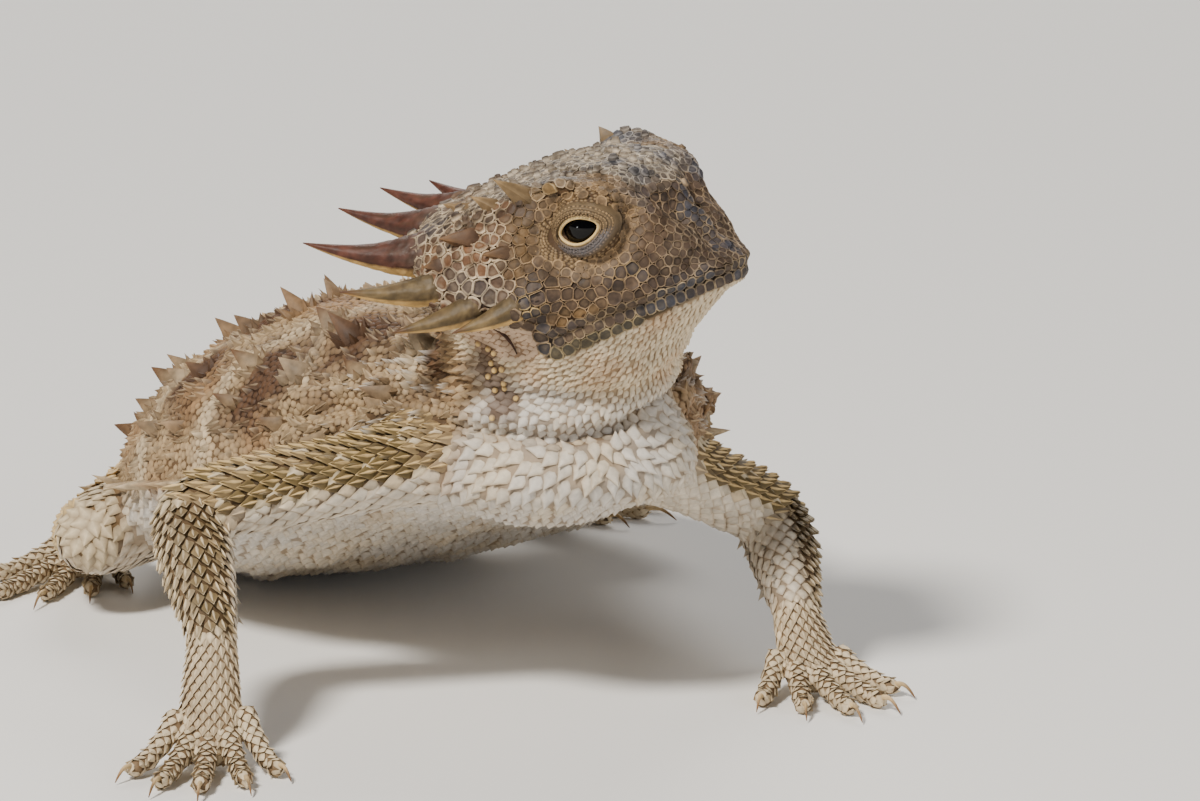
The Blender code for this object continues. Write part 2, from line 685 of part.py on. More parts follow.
def make_paw(kind, side, ankle, turn, digits):
    """A hand or foot: a low palm from the wrist to the knuckles, with five digits fused on."""
    ahead, outer = heading(side, turn)
    ankle = np.asarray(ankle, dtype=float)
    length = PALM_LENGTH[kind]
    knuckles = ankle + ahead * length
    share = np.linspace(0, 1, 6)
    line = ankle + (knuckles - ankle) * share[:, None]
    line[:, 2] = KNUCKLE_HEIGHT + (ankle[2] - KNUCKLE_HEIGHT) * (1 - share) ** 1.6
    wide = WRIST_RADIUS + (PALM_HALF_WIDTH - WRIST_RADIUS) * np.sin(share * math.pi * 0.62)
    tall = WRIST_RADIUS + (PALM_THICKNESS / 2 - WRIST_RADIUS) * share**0.7
    paw = swept(f"{kind}_{side}", line, (0.0, 0.0, 1.0), wide, tall, tall, PALM_SIDES)
    pieces = []
    for digit_turn, digit_length, reach in digits:
        way, _ = heading(side, turn + digit_turn)
        aside = PALM_HALF_WIDTH * DIGIT_SPREAD * math.sin(math.radians(digit_turn * 1.35))
        start = ankle + (ahead * 0.7 + way * 0.3) * reach + outer * aside
        start[2] = np.interp(reach * 0.85, line @ ahead - ankle @ ahead, line[:, 2])
        pieces.append(make_digit(kind, start, way, digit_length))
    combine(paw, pieces, "UNION")
    low = (-FLOOR_REACH, -FLOOR_REACH, -10.0)
    combine(paw, [make_solid("floor", *box_skin(low, (FLOOR_REACH, FLOOR_REACH, FLOOR)))], "DIFFERENCE")
    return paw


def box_skin(low, high):
    """Points and faces of a plain box."""
    points = [(x, y, z) for x in (low[0], high[0]) for y in (low[1], high[1]) for z in (low[2], high[2])]
    faces = [(0, 1, 3, 2), (4, 6, 7, 5), (0, 4, 5, 1), (2, 3, 7, 6), (0, 2, 6, 4), (1, 5, 7, 3)]
    return points, faces


def make_head(trunk):
    """Skull, lower jaw, eyes in their lids, nostrils, ears and the crown of horns, clear of the trunk."""
    skull = make_skull()
    jaw = bpy.data.objects.new("lower_jaw", skull.data.copy())
    bpy.context.scene.collection.objects.link(jaw)
    combine(jaw, [jaw_prism("jaw_block", 0.0)], "INTERSECT")
    whole = bpy.data.objects.new("whole_head", skull.data.copy())
    bpy.context.scene.collection.objects.link(whole)
    lids = [make_ball("lid", mirrored(EYE_CENTRE, side), (LID_RADIUS,) * 3, rings=7, sides=LID_SIDES)
            for side in ("left", "right")]
    combine(skull, lids, "UNION")
    hollows = [jaw_prism("jaw_space", GAP)]
    for side in ("left", "right"):
        eye, nostril, ear = (mirrored(centre, side) for centre in (EYE_CENTRE, NOSTRIL_CENTRE, EAR_CENTRE))
        hollows.append(make_ball("socket", eye, (EYE_RADIUS + GAP,) * 3, rings=7))
        hollows.append(make_lid_opening(side))
        hollows.append(make_ball("nostril", nostril, (NOSTRIL_RADIUS,) * 3, rings=4, sides=7))
        hollows.append(make_ball("ear", ear, EAR_SIZE, EAR_TILT, rings=5, sides=10))
    combine(skull, hollows, "DIFFERENCE")
    cut_clear(skull, [trunk])
    cut_clear(jaw, [trunk])
    finish(skull, "head")
    finish(jaw, "jaw")
    for side in ("left", "right"):
        eye = make_ball(f"eye_{side}", mirrored(EYE_CENTRE, side), (EYE_RADIUS,) * 3)
        finish(eye, "eye", 0.08)
        for name, root, tip, radius, bend in HORNS:
            horn = make_horn(name, side, root, tip, radius, bend)
            cut_clear(horn, [whole])
            finish(horn, "horn", 0.4)
    return whole


def make_body(trunk, whole_head):
    """Neck and tail, fitted to the trunk and the head."""
    neck = make_line("neck", NECK, NECK_RINGS, NECK_SIDES, (0.0, 1.0, 0.2))
    cut_clear(neck, [trunk, whole_head])
    tail = make_line("tail", TAIL, TAIL_RINGS, TAIL_SIDES, (0.0, 0.0, 1.0), on_floor=True)
    cut_clear(tail, [trunk])
    return neck, tail


def make_limbs(trunk, neck):
    """Four limbs of three lengths each, every length trimmed clear of the one that it grows from."""
    for side in ("left", "right"):
        shoulder, elbow, wrist = ARM_JOINTS[side]
        upper = make_limb(f"upper_arm_{side}", shoulder, elbow, UPPER_ARM)
        fore = make_limb(f"forearm_{side}", elbow, wrist, FOREARM)
        hand = make_paw("hand", side, wrist, HAND_TURN[side], FINGERS)
        cut_clear(upper, [trunk, neck])
        cut_clear(fore, [upper])
        cut_clear(hand, [fore])
        hip, knee, ankle = LEG_JOINTS[side]
        thigh = make_limb(f"thigh_{side}", hip, knee, THIGH)
        shank = make_limb(f"shank_{side}", knee, ankle, SHANK)
        foot = make_paw("foot", side, ankle, FOOT_TURN[side], TOES)
        cut_clear(thigh, [trunk])
        cut_clear(shank, [trunk, thigh])
        cut_clear(foot, [trunk, thigh, shank])
        for length in (upper, fore, hand, thigh, shank, foot):
            finish(length, "limb")


def varied(random, size):
    """A size with the spread that real spines have."""
    return size * (1 + SPINE_SPREAD * random.uniform(-1, 1))


def trunk_spines(random, bed, others):
    """Rows of spines down the back on both sides, and one row of flat ones along each flank."""
    spines = []
    back = np.array([0.0, 1.0, 0.0])
    for turn, spacing, height, radius in BACK_ROWS:
        for side in (1, -1):
            for place in np.arange(BACK_SPAN[0] + random.uniform(0, spacing), BACK_SPAN[1], spacing):
                place = place + random.uniform(-0.2, 0.2) * spacing
                widest = smooth(TRUNK, [place])[0, 2]
                angle = math.radians(turn + random.uniform(-5, 5))
                way = np.array([side * math.cos(angle), 0.0, math.sin(angle)])
                fade = np.interp(place, (0, 8, 40, 56), (0.75, 1.0, 1.0, 0.6))
                plant(spines, bed, others, (0.0, place + SHOULDER_Y, widest), way, back * BACK_LEAN,
                      varied(random, height) * fade, varied(random, radius) * fade, back)
    for side in (1, -1):
        for place in np.arange(*FRINGE_SPAN, FRINGE_SPACING):
            widest = smooth(TRUNK, [place])[0, 2]
            fade = np.interp(place, (3, 10, 42, 52), (0.6, 1.0, 1.0, 0.6))
            start = (0.0, place + SHOULDER_Y, widest - 0.3)
            plant(spines, bed, others, start, (side, 0.0, 0.0), back * FRINGE_LEAN,
                  varied(random, FRINGE_LENGTH) * fade, FRINGE_RADIUS, (0.0, 0.0, -1.0), 0.6)
    return spines


def tail_spines(random, bed, others):
    """A row of flat spines along each side of the tail, and two rows of small ones on top."""
    spines = []
    knots = np.linspace(0, 1, len(TAIL))
    table = [(knot, *place) for knot, (place, *_) in zip(knots, TAIL)]
    for count, turn, reach in ((TAIL_FRINGE, 4.0, TAIL_FRINGE_LENGTH), (TAIL_BACK, 58.0, TAIL_BACK_LENGTH)):
        for share in np.linspace(*TAIL_SPINE_SPAN, count):
            place, ahead = smooth(table, [share, share + 0.02], loose=True)
            run = unit(ahead - place)
            out = unit(np.cross(run, (0.0, 0.0, 1.0)))
            angle = math.radians(turn)
            for side in (1, -1):
                way = out * side * math.cos(angle) + np.array([0.0, 0.0, math.sin(angle)])
                size = varied(random, reach) * (1.1 - 0.6 * share)
                under_way = (0.0, 0.0, -1.0) if turn < 30 else run
                plant(spines, bed, others, place, way, run * TAIL_LEAN, size, size * 0.42, under_way)
    return spines


def limb_spines(random, bed, others, ends, rows):
    """Rows of keeled, pointed scales along a limb that lean towards its far end."""
    spines = []
    start, end = np.asarray(ends, dtype=float)
    turns, count, reach = rows
    run = unit(end - start)
    out = unit(np.cross(run, (0.0, 0.0, 1.0)))
    above = np.cross(out, run)
    for row, turn in enumerate(turns):
        angle = math.radians(turn)
        way = out * math.cos(angle) + above * math.sin(angle)
        for share in np.linspace(*LIMB_SPINE_SPAN, count) + 0.04 * (row % 2):
            place = start + (end - start) * share
            plant(spines, bed, others, place, way, run * LIMB_LEAN,
                  varied(random, reach), reach * 0.45, run)
    return spines


def neck_spines(random, bed, others):
    """The long pale spines of the fold at each side of the neck."""
    spines = []
    foot = np.array(NECK[0][0])
    top = np.array(NECK[-1][0])
    for side in (1, -1):
        for turn, share, reach in NECK_SPINES:
            angle = math.radians(turn)
            way = (side * math.cos(angle), math.sin(angle), 0.0)
            plant(spines, bed, others, foot + (top - foot) * share, way, (0.0, 0.7, 0.1),
                  varied(random, reach), NECK_SPINE_RADIUS, (0.0, 0.0, -1.0))
    return spines


def head_spines():
    """The brow spines, and the short cones behind the eye and round the temples."""
    spines = []
    for side in ("left", "right"):
        for root, tip, radius in HEAD_SPINES:
            place, end = from_head([mirrored(root, side), mirrored(tip, side)])
            spines.append(make_spine(place, end, radius, head_axes()[2], 0.9, 5))
    return spines


def chin_plates(random, bed, others):
    """A row of raised, pointed plates along each edge of the lower jaw."""
    spines = []
    forward, left, above = head_axes()
    for x in np.linspace(*CHIN_PLATE_SPAN, CHIN_PLATES):
        start = from_head([x, 0.0, mouth_height(x) - CHIN_PLATE_DROP])
        for side in (1, -1):
            plant(spines, bed, others, start, left * side, -0.9 * above - 0.3 * forward,
                  varied(random, CHIN_PLATE_HEIGHT), CHIN_PLATE_RADIUS, -above, 0.8)
    return spines


def dress_with_spines():
    """Fuses the spines on their nodes, one node after another, each clear of all that stands already."""
    random = np.random.default_rng(SEED)
    solids = {solid.name: solid for solid in bpy.data.objects}
    makers = {"torso": trunk_spines, "tail": tail_spines, "neck": neck_spines, "lower_jaw": chin_plates}
    for side in ("left", "right"):
        shoulder, elbow, wrist = ARM_JOINTS[side]
        hip, knee, ankle = LEG_JOINTS[side]
        lengths = {"upper_arm": (shoulder, elbow), "forearm": (elbow, wrist), "thigh": (hip, knee),
                   "shank": (knee, ankle)}
        for name, ends in lengths.items():
            makers[f"{name}_{side}"] = partial(limb_spines, ends=ends, rows=LIMB_SPINES[name])
    combine(solids["head"], head_spines(), "UNION")
    for name, maker in makers.items():
        others = [surface_of(solid) for solid in solids.values() if solid.name != name]
        spines = maker(random, surface_of(solids[name]), others)
        if spines:
            combine(solids[name], spines, "UNION")


def main():
    for old in list(bpy.data.objects):
        bpy.data.objects.remove(old)
    trunk = make_trunk()
    whole_head = make_head(trunk)
    neck, tail = make_body(trunk, whole_head)
    make_limbs(trunk, neck)
    remove(whole_head)
    finish(trunk, "back")
    finish(neck, "belly")
    finish(tail, "back")
    dress_with_spines()


main()
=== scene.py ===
"""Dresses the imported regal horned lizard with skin, scales, spines, horns, claws, lids and eyes.

The animal faces -Y, its left side is +X and the floor is z = 0. Sizes are in millimetres and degrees
until a mesh is made. The skin is one closed surface, grown over the same rows of rings as the solids.
Every scale, plate and spine is a small closed form that stands in it.
"""

import math

import bpy
import numpy as np
from bpy.props import FloatProperty, FloatVectorProperty, PointerProperty
from mathutils import Matrix, Vector
from mathutils.bvhtree import BVHTree
from mathutils.kdtree import KDTree


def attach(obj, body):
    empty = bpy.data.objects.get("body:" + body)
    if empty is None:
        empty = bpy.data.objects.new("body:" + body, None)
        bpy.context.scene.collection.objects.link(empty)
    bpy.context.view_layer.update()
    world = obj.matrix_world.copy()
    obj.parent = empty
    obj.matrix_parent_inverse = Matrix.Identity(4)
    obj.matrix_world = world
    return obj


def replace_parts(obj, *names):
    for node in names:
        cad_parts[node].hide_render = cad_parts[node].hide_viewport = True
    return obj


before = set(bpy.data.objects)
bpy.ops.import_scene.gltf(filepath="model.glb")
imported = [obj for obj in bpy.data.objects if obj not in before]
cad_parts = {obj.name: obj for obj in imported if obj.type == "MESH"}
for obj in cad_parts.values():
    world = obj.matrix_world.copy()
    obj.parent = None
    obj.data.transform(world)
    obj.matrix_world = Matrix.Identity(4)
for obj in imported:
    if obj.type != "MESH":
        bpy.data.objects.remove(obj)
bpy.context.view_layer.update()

bl_info = {
    "name": "Regal Horned Lizard",
    "version": (1, 0, 0),
    "blender": (4, 5, 0),
    "location": "View3D > Sidebar > Lizard",
    "description": "Skin, scales, spines, horns, claws and eyes of a life-size horned lizard",
    "category": "Object",
}

MM = 0.001
FLOOR = 0.0
SHOULDER_Y = -45.0
SEED = 11
# The animal's sides, and the sign of X there
SIDES = ("left", "right")
SIGN = {"left": 1, "right": -1}
# Places of the trunk, head, neck and tail in the list of body parts
TRUNK_LOFT, HEAD_LOFT, NECK_LOFT, TAIL_LOFT = range(4)
# Size of a scale's patch on the shared unwrap
PATCH = 0.003

# Depth of the scales over the skin, on the body and on the digits
COAT = 0.2
DIGIT_COAT = 0.16
# Cells of the lattice on which the body and the paws are fused into one skin
BODY_VOXEL = 0.406
PAW_VOXEL = 0.2
# How far the pole of a body part stands beyond its last ring, beside the ring's radius
POLE_REACH = 0.35

# Trunk: distance behind the shoulders, half width, top, widest level and underside
TRUNK = (
    (-9.2, 2.6, 18.8, 17.6, 16.6),
    (-7.6, 6.2, 20.4, 17.4, 15.4),
    (-4.0, 9.0, 23.2, 17.2, 14.4),
    (0.0, 11.2, 25.4, 17.0, 13.8),
    (5.0, 13.8, 26.5, 16.4, 12.6),
    (12.0, 17.4, 27.0, 15.0, 10.2),
    (20.0, 20.4, 26.4, 13.2, 7.0),
    (27.0, 21.4, 24.8, 11.6, 3.8),
    (34.0, 20.2, 22.2, 9.8, 1.4),
    (40.0, 17.2, 19.3, 8.4, 0.0),
    (46.0, 12.8, 16.2, 7.2, -0.7),
    (51.0, 9.2, 12.8, 6.2, -0.5),
    (56.0, 6.4, 9.6, 5.2, 0.3),
    (59.0, 3.6, 7.2, 4.6, 2.0),
)
TRUNK_POWERS = (2.1, 2.4)

# Head, in its own frame: x forward, y to its left, z up, from the middle of the skull
HEAD_CENTRE = (2.4, -48.8, 35.0)
HEAD_YAW = 40.2
HEAD_PITCH = 11.5
HEAD_ROLL = 2.9
SKULL = (
    (-13.4, 2.6, 1.6, -0.4, -2.6),
    (-12.6, 5.0, 2.1, -0.9, -4.4),
    (-11.2, 8.0, 2.9, -1.5, -6.8),
    (-9.0, 10.0, 3.3, -2.2, -9.4),
    (-6.4, 10.7, 3.9, -2.8, -12.0),
    (-3.0, 9.9, 4.5, -3.1, -13.4),
    (0.5, 8.7, 4.8, -3.4, -12.7),
    (3.0, 7.4, 4.2, -3.7, -9.8),
    (5.0, 5.9, 2.9, -3.9, -8.0),
    (7.0, 4.2, 1.1, -4.1, -6.6),
    (8.4, 2.8, -1.1, -4.2, -5.7),
    (9.2, 1.8, -2.7, -4.3, -5.3),
    (9.6, 0.8, -3.7, -4.3, -4.9),
)
SKULL_POWERS = (2.7, 1.8)
# Brow ridges of the skull, as in the solids: their line, height, half width and the way they rise
BROW = ((-3.3, 7.7, 4.4), (5.6, 3.9, 2.6))
BROW_HEIGHT = 0.9
BROW_WIDTH = 1.3
BROW_WAY = (0.0, 0.55, 0.83)
# Line of the mouth, forward and up, and the place of its corner
MOUTH = ((9.4, -4.4), (6.0, -4.9), (2.0, -5.4), (-1.9, -6.3), (-5.4, -9.0))
MOUTH_CORNER = -1.9

# Eye, lids, nostril and ear on the left side; the lids' opening is half its length and half its height
EYE_CENTRE = (1.5, 5.6, 0.8)
EYE_RADIUS = 2.1
LID_RADIUS = 2.75
LID_OPENING = (1.48, 0.86)
LID_TILT = 8.0
# How far the middle of the eyeball stands out, as a share of its radius
EYE_BULGE = 0.05
# Growth from the opening over which the lids fold; rows of beads: first, end, step, and how far on the lids
LID_GROWTH = (0.02, 1.25)
BEAD_ROWS = (0.3, 1.95, 0.15)
BEADS_ON_LID = 1.0
NOSTRIL_CENTRE = (8.1, 1.9, -1.3)
EAR_SLIT = ((-6.1, 10.0, -4.7), (-4.5, 9.1, -7.0))
# Lower edge of the plated part of the head: forward and up
PLATE_EDGE = ((-13.4, -3.2), (-9.0, -3.6), (-7.0, -4.0), (-5.2, -4.3), (-3.6, -4.8), (-2.8, -5.3),
              (-2.6, -7.6), (-0.4, -7.35), (4.1, -6.26), (8.1, -5.26), (10.0, -4.6))
# The smooth hollow about the ear
EAR_RECESS = ((-7.2, 9.4, -5.7), (-3.9, 8.9, -6.3))

# Folds of the hide in the model, as bent lines: the throat fold, and ridges at each shoulder, as on the
# left side, with their height and half width
THROAT_FOLD = ((-12.0, -42.0, 21.8), (-7.5, -49.2, 21.0), (-2.8, -52.1, 20.6), (1.7, -52.2, 21.1),
               (4.6, -50.6, 22.4), (8.0, -46.0, 23.6))
SHOULDER_FOLDS = (
    (((8.8, -46.5, 23.6), (10.0, -41.6, 23.2), (13.2, -37.5, 22.4), (16.0, -33.4, 20.8)), 1.0, 0.8),
    (((9.8, -45.4, 21.3), (11.9, -41.8, 20.7), (14.6, -37.6, 19.2), (18.0, -32.6, 17.6)), 1.0, 0.85),
    (((8.2, -42.6, 24.8), (10.8, -38.4, 24.9), (14.4, -33.0, 23.4)), 0.6, 0.9),
    (((12.6, -43.4, 19.2), (15.2, -40.0, 17.6), (18.6, -34.6, 15.4)), 0.7, 0.8),
)
# Ridges and grooves beside the throat fold: place above it, height, half width
THROAT_RIDGES = ((1.2, 0.75, 0.85), (0.0, -0.85, 0.5), (-1.2, 0.35, 0.8), (4.0, 0.25, 0.9), (3.0, -0.3, 0.4))

# Spots and bent lines of the head, as on its left side
BROW_LEDGE = ((-3.4, 8.0, 4.7), (-1.0, 6.9, 4.3), (1.4, 6.6, 3.7), (3.6, 5.9, 2.7), (5.4, 4.5, 1.9))
UNDER_LEDGE = ((-2.2, 8.3, 3.1), (0.6, 7.6, 3.0), (3.4, 6.7, 1.6))
BROW_CORNER = (-2.6, 7.4, 4.5)
BROW_SHELF = ((-2.8, 8.2, 4.2), (-0.6, 7.3, 3.7), (2.0, 7.0, 3.0), (3.8, 6.4, 1.9))
# Blue-grey plates of the crown: a bent line or a spot, and its half width
BLUE_SPOTS = ((((-2.4, 6.4, 4.8), (0.4, 5.6, 4.4), (3.4, 5.2, 3.2), (5.6, 4.1, 1.8)), 0.8),
              ((4.2, 2.3, 3.4), 1.1), ((2.4, 1.9, 4.2), 0.8))
SNOUT_EDGE = ((4.9, 3.4, 2.0), (6.8, 2.6, 0.6), (8.5, 1.5, -1.8))
SNOUT_BRIDGE = ((6.4, 1.4, 1.2), (8.3, 1.0, -1.2))
SNOUT_RIDGE = ((3.6, 5.9, 2.7), (5.4, 4.5, 1.9), (7.0, 3.0, 0.2), (8.2, 1.8, -1.2))
SNOUT_SADDLE = ((7.0, 0.0, 0.6), (6.8, 2.2, 0.4))
SNOUT_TIP = (9.9, 0.7, -3.1)
NECK_PATCH = ((-7.2, 8.4, -7.4), (-6.8, 8.2, -10.2))

# Rises of the head's skin: a spot or a bent line, height and half width, on both sides or on the left alone
HEAD_RISES = (
    (BROW_LEDGE, 0.85, 0.6),
    (UNDER_LEDGE, -0.5, 0.7),
    (SNOUT_RIDGE, 0.25, 0.6),
    (SNOUT_EDGE, -1.05, 1.3),
    (BROW_CORNER, 1.1, 1.1),
    (SNOUT_BRIDGE, -0.8, 1.0),
    (SNOUT_TIP, -0.5, 0.8),
    (SNOUT_SADDLE, -0.4, 1.0),
    (NOSTRIL_CENTRE, 0.35, 0.85),
    (NOSTRIL_CENTRE, -0.75, 0.36),
    (EAR_RECESS, -0.6, 1.6),
    (EAR_SLIT, -0.5, 0.35),
)
LEFT_RISES = ((BROW_LEDGE, 0.6, 1.5), (BROW_CORNER, 0.5, 1.6))

# Row of larger plates along the brow, and the distances between plates there and along the lips
BROW_ROW = ((-2.4, 8.1, 4.3), (-0.6, 7.3, 3.8), (1.6, 7.0, 3.2), (3.4, 6.4, 2.2), (4.8, 5.5, 1.2))
BROW_PITCH = 1.2
LIP_PITCH = 0.74
# Height of the lip rows above the line of the mouth
LIP_ROWS = (-0.4, 0.4)
# Plates that stand out as bumps: how much higher they are, and how far their middle bulges
BUMP_HEIGHT = 1.7
BUMP_DISH = -0.5
# Height of the plates of the brow, and how far their middle is dished
BROW_PLATE = (0.27, 0.05)
# Half length and half height of the skin that follows the sphere of the lids, and of the place round each
# eye that plates leave to the lids' beads, and the radius of the bare place at the nostril
LID_REACH = (2.7, 2.0)
PLATES_OFF_EYE = (2.95, 2.2)
PLATES_OFF_NOSTRIL = 0.45

# Horns of the crown: name, root and tip in the head's frame, root radius, upward bend
HORNS = (
    ("horn_occipital_inner", (-10.6, 2.6, 1.3), (-19.0, 3.2, 3.7), 1.55, 0.5),
    ("horn_occipital_outer", (-9.8, 6.2, 0.2), (-18.6, 9.7, 2.7), 1.75, 0.6),
    ("horn_temporal_rear", (-7.6, 8.2, -1.6), (-14.6, 13.1, -0.4), 1.6, 0.5),
    ("horn_temporal_middle", (-4.8, 8.8, -2.8), (-10.8, 13.9, -3.5), 1.45, 0.3),
    ("horn_temporal_front", (-2.2, 8.8, -3.2), (-6.8, 12.9, -4.2), 1.3, 0.2),
)

# Neck and tail: place of the line, half width, height above and below it
NECK = (
    (0.0, -42.5, 17.0, 8.6, 9.0, 8.2),
    (-0.6, -44.6, 21.5, 7.8, 8.8, 7.6),
    (-1.0, -45.6, 25.5, 7.4, 8.2, 6.8),
    (-1.6, -45.0, 30.0, 7.4, 6.6, 5.6),
)
TAIL = (
    (0.0, 9.0, 4.6, 5.6, 3.9, 4.5),
    (0.4, 15.0, 3.9, 5.2, 3.4, 4.2),
    (2.4, 24.0, 3.0, 4.1, 2.6, 3.4),
    (6.2, 33.0, 2.1, 2.8, 1.8, 2.4),
    (10.8, 40.5, 1.3, 1.7, 1.1, 1.6),
    (13.4, 44.0, 0.9, 0.9, 0.7, 1.0),
)

# Limbs, by side: joints and the way that each hand and foot points
ARM_JOINTS = {
    "right": ((-6.0, -45.6, 18.8), (-25.6, -39.8, 15.2), (-26.9, -48.2, 8.5)),
    "left": ((5.6, -46.2, 17.6), (20.2, -38.0, 9.8), (17.4, -47.4, 5.6)),
}
LEG_JOINTS = {
    "right": ((-5.0, 1.4, 7.8), (-22.6, -11.2, 6.2), (-16.4, 4.2, 3.3)),
    "left": ((5.0, 1.4, 7.8), (23.6, -8.6, 6.4), (18.2, 8.2, 3.3)),
}
HAND_TURN = {"right": 26.0, "left": -3.0}
FOOT_TURN = {"right": 42.0, "left": 50.0}
# Limbs: share of the length, half width and half height; how far the round ends reach, and their taper
LIMB_PROFILES = {
    "upper_arm": ((0.0, 3.4, 3.4), (0.45, 2.9, 2.9), (0.85, 2.7, 2.6), (1.0, 2.5, 2.4)),
    "forearm": ((0.0, 2.5, 2.4), (0.3, 2.7, 2.6), (0.75, 2.2, 2.1), (1.0, 1.9, 1.7)),
    "thigh": ((0.0, 4.6, 4.6), (0.45, 4.4, 4.2), (0.85, 3.6, 3.5), (1.0, 3.0, 3.0)),
    "shank": ((0.0, 2.8, 2.9), (0.3, 2.9, 2.8), (0.75, 2.1, 1.9), (1.0, 1.7, 1.6)),
}
LIMB_DOME = ((0.75, 0.45), (0.4, 0.85))

# Digits from the inner to the outer: turn from the paw's line, length, how far up the palm each starts
DIGITS = {
    "hand": ((-36.0, 3.8, 2.6), (-17.0, 5.2, 3.6), (0.0, 6.0, 4.2), (16.0, 5.6, 3.8), (35.0, 4.2, 2.8)),
    "foot": ((-36.0, 3.8, 3.6), (-19.0, 5.6, 4.6), (-3.0, 7.4, 5.2), (13.0, 8.8, 5.0), (33.0, 5.4, 3.0)),
}
PALM_LENGTH = {"hand": 4.6, "foot": 5.8}
PALM_HALF_WIDTH = 2.3
PALM_THICKNESS = 2.2
WRIST_RADIUS = 1.7
KNUCKLE_HEIGHT = 1.25
DIGIT_SPREAD = 1.05
DIGIT_SHAPE = ((0.0, 0.86), (0.35, 0.78), (0.62, 0.72), (0.74, 0.6))
CLAW_LENGTH = 2.3
CLAW_START = 0.69
PAD_HEIGHT = 0.6
CLAW_ARCH = 0.5
CLAW_TIP_HEIGHT = 0.16

# Spines of the back in rows: turn up from the widest level, spacing, height and root radius
BACK_ROWS = ((76.0, 5.0, 1.7, 0.85), (58.0, 5.0, 2.2, 1.05), (40.0, 5.0, 2.0, 1.0), (22.0, 4.6, 1.7, 0.85))
BACK_SPAN = (1.0, 54.0)
# Fringe of the flanks
FRINGE_SPAN = (3.0, 52.0)
FRINGE_SPACING = 1.75
FRINGE_LENGTH = 2.7
FRINGE_RADIUS = 0.75
# Small spines of the back: first place, end and distance of their rows, and turns up from the flank
SMALL_ROWS = (-3.0, 54.0, 1.7)
SMALL_TURNS = (10.0, 17.0, 31.0, 40.0, 49.0, 58.0, 67.0, 76.0, 85.0)
# Spines higher than this get a ring of so many small ones
LARGE_SPINE = 1.1
RING_COUNT = 7
# How deep the foot of a spine stands in the skin, and the distance between the spines of the neck's folds
SPINE_SINK = 0.1
NECK_PITCH = 0.42
# Spines of the tail: how many in a row, turn up from the side, length
TAIL_ROWS = ((26, 4.0, 1.7), (20, 40.0, 1.0), (20, 72.0, 1.0))

# Long scales of the limbs: the part of the limb that has them; turns of the rows, how many in each, length
LIMB_SPINE_SPAN = (0.24, 0.8)
LIMB_SPINES = {
    "upper_arm": ((50.0, 90.0, 130.0, 160.0), 7, 1.1),
    "forearm": ((0.0, 50.0, 110.0, 180.0), 6, 1.1),
    "thigh": ((60.0, 100.0, 140.0), 6, 1.2),
    "shank": ((0.0, 90.0, 180.0), 6, 1.0),
}

# Head spines: place and tip in the head's frame, root radius
HEAD_SPINES = (
    ((-2.8, 7.9, 4.8), (-3.6, 8.6, 5.4), 0.95),
    ((-5.2, 7.0, 3.4), (-6.2, 7.6, 4.3), 0.8),
    ((-8.0, 5.6, 2.9), (-9.0, 6.1, 3.7), 0.8),
    ((-6.4, 8.9, 1.3), (-7.9, 10.4, 2.0), 1.0),
    ((-3.8, 9.4, 0.2), (-4.7, 10.6, 0.5), 0.7),
    ((-8.6, 8.9, -0.4), (-9.9, 10.0, 0.1), 0.75),
    ((-9.6, 3.8, 2.7), (-10.5, 4.0, 3.4), 0.65),
)

# Paired dark blotches of the back: distance behind the shoulders, distance from the middle, radius
BLOTCHES = ((2.5, 6.0, 2.4), (11.5, 9.4, 3.0), (15.8, 15.6, 3.1), (25.5, 9.5, 2.7), (25.5, 17.6, 2.4),
            (36.0, 9.0, 2.6), (45.0, 6.0, 2.1))

# Floor in mm: half width, where it starts and where it curves up, radius of the curve, height of its end
FLOOR_HALF_WIDTH = 2600.0
FLOOR_START = -1500.0
CURVE_START = 700.0
CURVE_RADIUS = 900.0
WALL_HEIGHT = 2600.0
# How far the floor lies under the model's lowest flats, in mm, and its roughness
FLOOR_DROP = 0.02
FLOOR_ROUGHNESS = 0.85
# Lights: place and size in metres, power in watts, colour
LIGHT_TARGET = (0.0, -0.035, 0.02)
LIGHTS = {
    "key": ((-0.42, -0.3, 0.56), 0.14, 8.6, (1.0, 0.95, 0.87)),
    "fill": ((0.45, -0.6, 0.25), 0.6, 2.2, (1.0, 0.98, 0.95)),
    "rim": ((0.25, 0.5, 0.45), 0.4, 2.6, (1.0, 0.97, 0.92)),
    "catch": ((-0.39, -0.15, 0.04), 0.03, 0.1, (1.0, 1.0, 1.0)),
}
SKY_COLOUR = (0.86, 0.9, 1.0, 1.0)
SKY_STRENGTH = 0.14
# Camera: turn and height in degrees as seen from the animal, distance in metres, focal length in mm, and
# how far it aims beside and below the middle of the head, in metres
CAMERA_TURN = -24.0
CAMERA_HEIGHT = 13.0
CAMERA_DISTANCE = 0.45
CAMERA_LENS = 195.75
CAMERA_SHIFT = (0.000634, 0.01252)

# Colours as seen, 0 to 255
SAND = (162, 138, 106)
WARM = (144, 110, 76)
LIGHT = (200, 181, 150)
UMBER = (74, 50, 36)
CREAM = (198, 182, 154)
BONE = (190, 184, 175)
OLIVE = (104, 88, 54)
GOLD = (214, 184, 132)
CHEEK = (64, 52, 43)
CHEEK_RIM = (152, 126, 96)
SLATE = (54, 57, 66)
SLATE_RIM = (124, 124, 128)
RUST = (100, 68, 44)
HORN_RED = (84, 52, 42)
HORN_OCHRE = (184, 148, 92)
HORN_OLIVE = (100, 84, 58)
CLAW_AMBER = (196, 170, 128)
